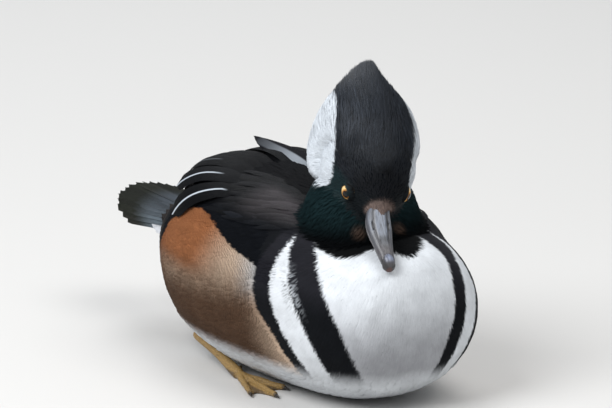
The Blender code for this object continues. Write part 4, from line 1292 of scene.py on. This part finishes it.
for label, lift, reach, spread, colour, seed in (
    ("upper_tail_coverts", 5.0, 52, 26, (0.02, 0.017, 0.016), 311),
    ("under_tail_coverts", -4.6, 56, 31, (0.4, 0.41, 0.43), 321),
):
    draw = np.random.default_rng(seed)
    turns = np.tile(np.linspace(-spread, spread, COVERTS_IN_ROW), COVERT_ROWS)
    turns = turns + draw.normal(0, 1.5, coverts)
    step = np.repeat(np.arange(COVERT_ROWS), COVERTS_IN_ROW)
    lifts = lift - np.sign(lift) * (1.3 * step) - 4 * (turns / 26) ** 2
    lifts = lifts + draw.normal(0, 0.15, coverts)
    lengths = reach - 0.012 * turns**2 + 7.0 * step - 12 + draw.normal(0, 1, coverts)
    middles, outward, halves = tail_row(turns, lifts, 0.015 * turns, 8, lengths, 4.2, seed + 1)
    tints = quill_tints(coverts, colour, draw)
    piece = vanes(label, middles, outward, halves, 0.35, tail_finish, tints, arch=0.15, seed=seed + 2)
    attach(piece, "root")

# The bill: a narrow horny sheath in two halves over the jaw bones. The upper half has a raised plate
# down its middle, a slit for a nostril at each side, and a rounded nail at the tip.
# Rows from the base to the tip: place, half width, top, edge of the jaw
BILL_START = 14.2
BILL_LENGTH = 37.2
BILL_DROOP = math.radians(3)
UPPER_BILL = [
    (-0.09, 5.2, 4.3, -2.0), (0, 6.2, 4.9, -2.2), (0.15, 6.9, 3.9, -2.5), (0.33, 6.8, 2.4, -2.9),
    (0.57, 5.4, 1.0, -3.2), (0.80, 4.0, 0.3, -3.6), (0.90, 3.7, 0.2, -4.4), (0.97, 2.8, -1.2, -5.7),
    (0.995, 1.2, -3.2, -5.9),
]
LOWER_BILL = [
    (-0.09, 5.5, -2.4, -7.9), (0, 5.9, -2.6, -7.8), (0.33, 6.4, -3.1, -7.0), (0.57, 4.9, -3.5, -6.5),
    (0.80, 3.7, -4.0, -6.2), (0.88, 3.0, -4.5, -6.1), (0.93, 1.8, -5.0, -5.9),
]
# Each half's rings: how many, points in each, how square it is above and below, and how far up
# from its lower edge it is widest
UPPER_RINGS = (72, 72, 2.3, 3.2, 0.22)
LOWER_RINGS = (56, 48, 4.0, 2.2, 0.8)


def bill_rings(table, count, sides, over, under, widest):
    """Rings of a half of the bill, with each point's place along it and its angle round it."""
    first, last = table[0][0], table[-1][0]
    places = first + (last - first) * np.linspace(0, 1, count) ** 0.93
    half, high, low = (value[:, None] for value in np.moveaxis(through(table, places), -1, 0))
    angles = 2 * np.pi * (np.arange(sides) + 0.5) / sides
    c, s = np.cos(angles), np.sin(angles)
    power = np.where(s > 0, over, under)
    size = (np.abs(c) ** power + np.abs(s) ** power) ** (-1 / power)
    middle = low + (high - low) * widest
    across = half * (c * size)[None]
    up = middle + np.where(s > 0, high - middle, middle - low) * (s * size)[None]
    return places[:, None] + 0 * across, across, up, across / half, s[None] + 0 * across


def bill_points(place, across, up):
    forward = BILL_START + BILL_LENGTH * place
    on = np.clip(place, 0, 1)
    lean = 0.8 * (1 - place) + 4.5 * np.sqrt(on) * (1 - on) ** 1.2
    drooped = up - BILL_LENGTH * place * math.sin(BILL_DROOP)
    return from_head(np.stack([forward, across - lean, drooped], -1))


place, across, up, beside, above = bill_rings(UPPER_BILL, *UPPER_RINGS)
aside = np.abs(beside)
top = above > 0
plate = (1 - rise(aside, 0.3, 0.38)) * (1 - rise(place, 0.5, 0.68))
ridge = hump(aside, 0.37, 0.08) * (1 - rise(place, 0.35, 0.6)) * rise(place, -0.05, 0.06)
groove = hump(aside, 0.54, 0.12) * (1 - rise(place, 0.5, 0.8))
# The nostril's slit and the nail, each an oval: middle along the bill, half length, and so across it
SLIT_AT, SLIT_LONG, SLIT_ASIDE, SLIT_WIDE = 0.31, 0.075, 0.66, 0.1
NAIL_AT, NAIL_LONG, NAIL_WIDE = 0.895, 0.105, 0.78
slit_along = (place - SLIT_AT - 0.05 * (aside - SLIT_ASIDE)) / SLIT_LONG
slit = np.clip(1 - slit_along**2 - ((aside - SLIT_ASIDE) / SLIT_WIDE) ** 2, 0, 1) ** 0.5
nail_along, nail_across = (place - NAIL_AT) / NAIL_LONG, aside / NAIL_WIDE
nail = np.clip(1 - nail_along**2 - nail_across**2, 0, 1) ** 0.5
nail_rim = hump(np.hypot(nail_along, nail_across), 1.08, 0.2) * (place < 0.97)
dent = hump(place, 0.6, 0.13) * (1 - rise(aside, 0.25, 0.5))
seam = hump(np.degrees(np.arctan2(above, np.sqrt(1 - np.minimum(above**2, 1)))), -18, 14)
relief = 0.3 * plate + 0.35 * ridge - 0.3 * groove - 1.0 * slit
relief = relief + 0.55 * nail - 0.25 * nail_rim - 0.25 * dent
up = up + top * relief
across = across * (1 - 0.045 * seam - 0.1 * slit * top)
bill_upper = rolled("bill_upper_horn", bill_points(place, across, up))
slate = np.array((0.07, 0.072, 0.082))
bill_top_highlight = np.array((0.2, 0.225, 0.275))
dark = np.array((0.018, 0.017, 0.019))
upper_tints = np.broadcast_to(slate, (*place.shape, 3))
for colour, share in (
    # Painted highlight: a bluish grey on the plate, its ridges and the upper sides near the base, where the
    # horn faces the light.
    (bill_top_highlight, top * np.maximum(plate * 0.75, ridge)),
    (bill_top_highlight * 0.9, top * 0.55 * hump(aside, 0.8, 0.2) * (1 - rise(place, 0.3, 0.5))),
    # Painted shade in the groove beside the plate.
    (dark, top * groove * 0.6),
    (dark, top * 0.75 * hump(place, 0.54, 0.12) * (1 - rise(aside, 0.3, 0.6))),
    ((0.085, 0.075, 0.078), top * 0.6 * rise(place, 0.58, 0.72)),
    (dark, rise(place, 0.8, 0.88) * (1 - nail * top) * 0.9),
    # Painted highlight on the top of the nail.
    ((0.2, 0.23, 0.32), top * nail**1.5 * (1 - rise(place, 0.88, 0.965))),
    ((0.075, 0.03, 0.024), rise(place, 0.985, 0.995)),
    # The nostril's slit painted near black, as the shade in its opening.
    ((0.003, 0.003, 0.003), top * np.clip(slit * 2.2, 0, 1)),
    ((0.24, 0.24, 0.26), 0.7 * hump(above, -0.45, 0.22) * (1 - rise(place, 0.75, 0.9))),
):
    upper_tints = laid_over(upper_tints, colour, share)

place, across, up, beside, above = bill_rings(LOWER_BILL, *LOWER_RINGS)
pinched = across * (1 - 0.03 * hump(above, -0.1, 0.3))
bill_lower = rolled("bill_lower_horn", bill_points(place, pinched, up))
lower_tints = np.broadcast_to(np.array((0.07, 0.067, 0.072)), (*place.shape, 3))
lower_tints = laid_over(lower_tints, (0.2, 0.2, 0.215), 0.8 * hump(above, 0.25, 0.35))
lower_tints = laid_over(lower_tints, dark, rise(place, 0.75, 0.9))

bill_finish, shader, grow = finish("bill_sheath")
tint = grow("Attribute", {}, attribute_name="Tint")
stretch = grow("Mapping", {"Vector": grow("UVMap", {}, uv_map="Vane"), "Scale": (45, 5, 1)})
grain_noise = {"Vector": stretch, "Scale": 1.3, "Detail": 4, "Roughness": 0.65}
grain = grow("TexNoise", grain_noise, noise_dimensions="2D")
grain_tone = grow("MapRange", {0: grain, 1: 0.3, 2: 0.7, 3: 0.5, 4: 1.5})
wire(shader, {
    "Base Color": grow("VectorMath", {0: tint, "Scale": grain_tone}, operation="SCALE"),
    "Normal": grow("Bump", {"Strength": 0.3, "Distance": 0.0003, "Height": grain}),
    "Roughness": 0.42, "Coat Weight": 0.2, "Coat Roughness": 0.25,
})


def tinted(thing, tints, unwrap, material):
    """Writes colours and one unwrap to a thing's points, and gives it a finish."""
    painted(thing.data, np.hstack([tints, np.ones((len(tints), 1))]), unwrap, unwrap)
    dressed(thing, material)


def nearest_values(thing, places, values):
    """Values of the nearest of these places, for each point of a thing in millimetres."""
    finder = KDTree(len(places))
    for i, place in enumerate(places):
        finder.insert(place, i)
    finder.balance()
    points, _ = vertex_arrays(thing.data)
    return values[[finder.find(point / MM)[1] for point in points]]


def ring_unwrap(rows, sides):
    u = np.linspace(0.02, 0.98, sides)[None] + np.zeros((rows, 1))
    v = np.linspace(0.02, 0.98, rows)[:, None] + np.zeros((1, sides))
    return np.stack([u, v], -1).reshape(-1, 2)


for thing, table, shape, tints in (
    (bill_upper, UPPER_BILL, UPPER_RINGS, upper_tints),
    (bill_lower, LOWER_BILL, LOWER_RINGS, lower_tints),
):
    spots = bill_points(*bill_rings(table, *shape)[:3]).reshape(-1, 3)
    looks = np.hstack([tints.reshape(-1, 3), ring_unwrap(*shape[:2])])
    looks = nearest_values(thing, spots, looks)
    tinted(thing, looks[:, :3], looks[:, 3:], bill_finish)
    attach(thing, "root")
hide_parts("bill_upper")
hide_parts("bill_lower")

# The edge of the face's plush round the bill's base, and the brown point of it that runs from the
# forehead on to the bill between its upper corners. Short tufts, each rooted at the horn's edge.
def plush_tufts(roots, ways, lengths, outward, rise_by, fall_by):
    """Middle lines of short tufts laid over in these ways, and the ways outwards along them."""
    t = np.linspace(0, 1, len(TUFT_SHAPE))[None, :, None]
    run = ways[:, None] * lengths[:, None, None] * t
    middles = roots[:, None] + run + outward[:, None] * (rise_by * t - fall_by * t**2)
    return middles, np.repeat(outward[:, None], len(TUFT_SHAPE), axis=1)


# The height in the head where the horn is widest
BILL_MIDDLE = -2.6
draw = np.random.default_rng(401)
count = 3600
forward = draw.uniform(10.2, 20.8, count)
round_bill = draw.uniform(-180, 180, count)
place = (forward - BILL_START) / BILL_LENGTH
c, s = np.sin(np.radians(round_bill)), np.cos(np.radians(round_bill))
half, high = through(UPPER_BILL, place)[:, :2].T
chin = through(LOWER_BILL, place)[:, 2]
size = (np.abs(c) ** 2.3 + np.abs(s) ** 2.3) ** (-1 / 2.3)
aside_at = half * c * size
up_at = BILL_MIDDLE + np.where(s > 0, high - BILL_MIDDLE, BILL_MIDDLE - chin) * s * size
point_edge = 15.4 + 5.2 * np.clip(1 - np.abs(aside_at) / 5.4, 0, 1) ** 1.1 * (s > 0)
kept = forward < point_edge + draw.normal(0, 0.25, count)
drooped = up_at - BILL_LENGTH * place * math.sin(BILL_DROOP)
roots = np.stack([forward, aside_at - 0.8, drooped], -1)[kept]
outward = unit(np.stack([0.3 + 0 * c, c, s], -1)[kept])
roots = roots + outward * 0.25
backward = np.stack([-1 + 0 * c, draw.normal(0, 0.1, count) + 0.25 * c, 0.25 * s + 0 * c], -1)[kept]
lengths = draw.uniform(1.8, 3.0, len(roots))
middles, outward = plush_tufts(roots, backward, lengths, outward, 1.5, 0.6)
middles = from_head(middles)
tints = tints_along(middles, np.full(len(roots), REGIONS.index("head")), draw, 0.18, 0.4)
halves = 0.3 * TUFT_SHAPE * draw.uniform(0.8, 1.2, (len(roots), 1))
piece = feathers("bill_edge_plush", middles, outward @ HEAD_AXES.T, halves, 0.12, velvet, tints)
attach(piece, "root")

# The eyes: glass balls as a taxidermist sets, painted behind with an amber ring about a black
# pupil, and clear and wet in front, with a rim of dark lid skin round each.
EYE_RADIUS = 5.6
EYE_CENTRE = np.array((0.2, 13.7, 0.3))
EYE_TURN = math.radians(52)
GLASS_BULGE = 0.07
eye_finish, shader, grow = finish("eye_glass")
from_axis = grow("Attribute", {}, attribute_name="From Axis").outputs["Fac"]
eye_place = grow("TexCoord", {}).outputs["Object"]
flecks = grow("TexNoise", {"Vector": eye_place, "Scale": 1400, "Detail": 2})
flecked = grow("Math", {0: flecks, 1: 0.35, 2: from_axis}, operation="MULTIPLY_ADD")
iris = grow("ValToRGB", {0: grow("Math", {0: flecked, 1: EYE_RADIUS}, operation="DIVIDE")})
stops = iris.color_ramp.elements
for number, (at, colour) in enumerate((
    (0.33, (0.002, 0.002, 0.002)), (0.38, (0.2, 0.07, 0.015)), (0.47, (0.6, 0.3, 0.08)),
    (0.62, (0.85, 0.62, 0.3)), (0.78, (0.78, 0.52, 0.22)), (0.86, (0.03, 0.02, 0.012)),
)):
    stop = stops[number] if number < 2 else stops.new(at)
    stop.position = at
    stop.color = (*colour, 1)
wire(shader, {
    "Base Color": iris, "Roughness": 0.25, "Specular IOR Level": 0.1,
    "Coat Weight": 0.4, "Coat Roughness": 0.03,
})

lid_finish, shader, grow = finish("lid_skin")
lid_place = grow("TexCoord", {}).outputs["Object"]
lid_grain = grow("TexNoise", {"Vector": lid_place, "Scale": 900, "Detail": 3})
wire(shader, {
    "Base Color": (0.006, 0.0055, 0.0055, 1), "Roughness": 0.7, "Specular IOR Level": 0.1,
    "Normal": grow("Bump", {"Strength": 0.5, "Distance": 0.0003, "Height": lid_grain}),
})

# How wide the lids stand open: degrees round from the front over the top, and the reach there
LID_OPENING = [
    (0, 2.5), (30, 2.2), (60, 2.2), (90, 2.9), (135, 4.3), (180, 4.7), (225, 4.6), (270, 4.2),
    (315, 3.4), (360, 2.5),
]
# Across a lid, from its inner edge out and back under: beyond the edge, above the glass, and how
# much of the brow it takes. The right eye looks from under a stronger brow, with a narrower opening.
LID_SECTION = (
    (0, -0.1, 0), (-0.1, 0.14, 0.35), (0.05, 0.3, 0.8), (0.4, 0.36, 1), (1.1, 0.25, 1),
    (2.1, 0.1, 0.6), (3.0, -0.5, 0.1), (2.6, -1.8, 0), (1.2, -1.3, 0),
)
LID_WIDER = {-1: 0, 1: 0.5}
BROW_JUT = {-1: 0.7, 1: 0.1}
BROW_TURN = 62


def bulged(out):
    """How much the clear front of the glass stands out, of its radius, at a distance from its axis."""
    return 1 + GLASS_BULGE * (1 - rise(out, 1.0, 4.6))


def eye_frame(side):
    """The eyeball's middle, the way that it looks, its front and its top, in the bird's own frame."""
    centre = from_head(EYE_CENTRE * (1, side, 1))
    looks = unit(HEAD_AXES @ np.array((math.cos(EYE_TURN), side * math.sin(EYE_TURN), 0.1)))
    over = HEAD_AXES @ np.array((0.0, 0, 1))
    over = unit(over - looks * (over @ looks))
    front = HEAD_AXES @ np.array((1.0, 0, 0))
    front = unit(front - looks * (front @ looks) - over * (front @ over))
    return centre, looks, front, over


for side, label in ((-1, "right"), (1, "left")):
    centre, looks, front, over = eye_frame(side)
    bpy.ops.object.select_all(action="DESELECT")
    bpy.ops.mesh.primitive_uv_sphere_add(segments=96, ring_count=64, radius=EYE_RADIUS * MM)
    eye = bpy.context.object
    eye.name = "eye_glass_" + label
    points, _ = vertex_arrays(eye.data)
    points = points / MM
    out = np.hypot(points[:, 0], points[:, 1])
    reach = np.where(points[:, 2] > 0, bulged(out), 1)
    turned = (points * reach[:, None]) @ np.array([front, over, looks])
    move_points(eye, (turned + centre) * MM)
    over_all_of(eye, bpy.ops.mesh.normals_make_consistent, inside=False)
    axis_place = np.where(points[:, 2] > 0, out, EYE_RADIUS * 2)
    axis_field = eye.data.attributes.new("From Axis", "FLOAT", "POINT")
    axis_field.data.foreach_set("value", axis_place.astype(np.float32))
    dressed(eye, eye_finish)
    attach(eye, "root")
    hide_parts("eye_" + label)

    rings = []
    for degrees in np.linspace(0, 360, 72, endpoint=False):
        turn = math.radians(degrees)
        way = math.cos(turn) * front + math.sin(turn) * over
        open_to = float(through(LID_OPENING, degrees)[0]) + LID_WIDER[side]
        brow = BROW_JUT[side] * hump(degrees, BROW_TURN, 78)
        ring = []
        for beyond, lift, jut in LID_SECTION:
            reach = min(open_to + beyond - 0.25 * jut * brow, 7.4)
            ball = EYE_RADIUS * bulged(reach) + 0.05
            high = math.sqrt(max(ball**2 - min(reach, 5.5) ** 2, 0.3))
            ring.append(centre + way * reach + looks * (high + lift + jut * brow))
        rings.append(ring)
    bpy.ops.object.select_all(action="DESELECT")
    bpy.ops.mesh.primitive_torus_add(major_segments=72, minor_segments=9)
    lids = bpy.context.object
    lids.name = "eyelids_" + label
    lids.matrix_world = Matrix.Identity(4)
    move_points(lids, np.array(rings) * MM)
    over_all_of(lids, bpy.ops.mesh.normals_make_consistent, inside=False)
    modified(lids, "SUBSURF", levels=1, render_levels=1)
    dressed(lids, lid_finish)
    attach(lids, "root")

# The plush round each eye: short tufts rooted just outside the lid, the front ones hanging a little
# over it as a brow. They hide the seam between the lid and the skin.
PLUSH_OUT = {-1: 0, 1: 1.1}
PLUSH_JUT = {-1: 0.8, 1: 0.0}
for side, label in ((-1, "right"), (1, "left")):
    centre, looks, front, over = eye_frame(side)
    draw = np.random.default_rng(420 + side)
    count = 420
    degrees = draw.uniform(0, 360, count)
    c, s = np.cos(np.radians(degrees))[:, None], np.sin(np.radians(degrees))[:, None]
    ways = c * front + s * over
    reach = through(LID_OPENING, degrees)[:, 0] + draw.uniform(0.35, 2.8, count) + PLUSH_OUT[side]
    brow = PLUSH_JUT[side] * hump(degrees, BROW_TURN, 85)
    high = np.sqrt(np.maximum(EYE_RADIUS**2 - np.minimum(reach, 5.3) ** 2, 0.3)) + 0.3 + brow
    roots = centre + ways * reach[:, None] + looks * high[:, None]
    outward = unit(ways * (reach / EYE_RADIUS)[:, None] * 0.8 + looks * 0.7)
    back = on_skin(-front + draw.normal(0, 0.18, (count, 3)) - 0.25 * over * s, outward)
    lengths = draw.uniform(1.1, 1.9, count)
    middles, outward = plush_tufts(roots, back, lengths, outward, 0.7, 0.5)
    tints = tints_along(middles, np.full(count, REGIONS.index("head")), draw, 0.2, 0.3)
    halves = 0.24 * TUFT_SHAPE * draw.uniform(0.8, 1.2, (count, 1))
    piece = feathers("eye_plush_" + label, middles, outward, halves, 0.1, velvet, tints)
    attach(piece, "root")

# The legs: short scaly shanks folded under the flanks, each with three webbed toes and a small
# hind one, all claws down, the soles flat on the stand. Cast as one, and painted a dull ochre.
TOE_ROOT = np.array((43, 14, 2.6))
HEEL = np.array((40, 60, 15))
TOES = [((35, -20, 2), 0.9, 2), ((47, -30, 2), 1.0, 3), ((57, -20, 2), 0.9, 4), ((34, 26, 2.4), 0.6, 1)]


def limb(side, start, end, thick, thin, joints=0):
    """A tapered rod between two places, swollen at its joints."""
    start, end = np.asarray(start, float), np.asarray(end, float)
    along = unit(end - start)
    across = unit(np.cross(along, (0, 0, 1)))
    above = np.cross(across, along)
    turns = np.linspace(0, 2 * np.pi, 16, endpoint=False)
    rings = []
    for t in np.linspace(0, 1, 12 * joints + 8):
        size = thick + (thin - thick) * t
        if joints:
            size *= 1 + 0.13 * math.cos(2 * math.pi * joints * t)
        circle = np.cos(turns)[:, None] * across + np.sin(turns)[:, None] * above
        rings.append((start + (end - start) * t + size * circle) * (side, 1, 1))
    return rolled("limb", rings)


def web_between(side, first, second):
    """The skin between two toes, scalloped between their tips."""
    w = np.linspace(0, 1, 12)
    to_first, to_second = np.array(first) - TOE_ROOT, np.array(second) - TOE_ROOT
    rings = []
    for t in np.linspace(0.06, 0.97, 18):
        reach = (t * (1 - 0.15 * np.sin(np.pi * w) * t))[:, None]
        edge = TOE_ROOT + to_first * reach * (1 - w[:, None]) + to_second * reach * w[:, None]
        high = 1.2 - 0.3 * np.sin(np.pi * w)
        upper = np.stack([edge[:, 0], edge[:, 1], high + 0.5], -1)
        under = np.stack([edge[:, 0], edge[:, 1], 0 * high + 0.1], -1)[::-1]
        rings.append(np.concatenate([upper, under]) * (side, 1, 1))
    return rolled("web", rings)


foot_finish, shader, grow = finish("foot_scutes")
tint = grow("Attribute", {}, attribute_name="Tint")
foot_place = grow("TexCoord", {}).outputs["Object"]
scutes = grow("TexVoronoi", {"Vector": foot_place, "Scale": 750}, feature="DISTANCE_TO_EDGE")
scute_tone = grow("MapRange", {0: scutes.outputs["Distance"], 1: 0.0, 2: 0.12, 3: 0.55, 4: 1.1})
wire(shader, {
    "Base Color": grow("VectorMath", {0: tint, "Scale": scute_tone}, operation="SCALE"),
    "Normal": grow("Bump", {"Strength": 0.5, "Distance": 0.0004, "Height": scute_tone}),
    "Roughness": 0.5,
})
for side, label in ((-1, "right"), (1, "left")):
    pieces = [limb(side, HEEL, TOE_ROOT, 3.4, 2.9, 1)]
    lines = []
    for tip, width, joints in TOES:
        tip = np.array(tip, float)
        pieces.append(limb(side, TOE_ROOT, tip, 2.3 * width, 1.43 * width, joints))
        claw = tip + unit(tip - TOE_ROOT) * 4.2 - (0, 0, 0.8)
        pieces.append(limb(side, tip, claw, 1.1, 0.4))
        lines.append((TOE_ROOT * (side, 1, 1), tip * (side, 1, 1), claw * (side, 1, 1)))
    pieces += [web_between(side, TOES[0][0], TOES[1][0]), web_between(side, TOES[1][0], TOES[2][0])]
    foot = pieces[0]
    only(foot)
    for piece in pieces:
        piece.select_set(True)
    bpy.ops.object.join()
    foot.name = "foot_" + label
    modified(foot, "REMESH", mode="VOXEL", voxel_size=0.45 * MM)
    modified(foot, "SMOOTH", factor=0.5, iterations=3)
    points, _ = vertex_arrays(foot.data)
    points[:, 2] = np.maximum(points[:, 2], 0.05 * MM)
    move_points(foot, points)
    points = points / MM
    near = np.full(len(points), np.inf)
    claws = np.full(len(points), np.inf)
    for root, tip, claw in lines:
        for a, b, kept in ((root, tip, near), (tip, claw, claws)):
            t = np.clip(((points - a) @ (b - a)) / ((b - a) @ (b - a)), 0, 1)
            np.minimum(kept, np.linalg.norm(points - a - t[:, None] * (b - a), axis=1), out=kept)
    tints = np.broadcast_to(np.array((0.30, 0.185, 0.06)), (len(points), 3))
    tints = laid_over(tints, (0.1, 0.065, 0.035), 0.85 * rise(near, 1.8, 3.4) * (points[:, 2] < 4))
    tints = laid_over(tints, (0.022, 0.016, 0.012), (1 - rise(claws, 1.1, 1.6)) * rise(near, 0.9, 1.3))
    unwrap = np.stack([(points[:, 0] + 80) / 160, (points[:, 1] + 50) / 160 + points[:, 2] / 400], -1)
    tinted(foot, tints, unwrap, foot_finish)
    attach(foot, "root")
    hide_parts("leg_" + label)

# The visual's size: the corners of all its shown pieces together
low = np.full(3, np.inf)
high = np.full(3, -np.inf)
for thing in bpy.context.scene.objects:
    shown = thing.type == "MESH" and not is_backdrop(thing) and not thing.hide_render
    if shown and len(thing.data.vertices):
        points, _ = vertex_arrays(thing.data)
        placed = np.array(thing.matrix_world)
        points = points @ placed[:3, :3].T + placed[:3, 3]
        low, high = np.minimum(low, points.min(0)), np.maximum(high, points.max(0))
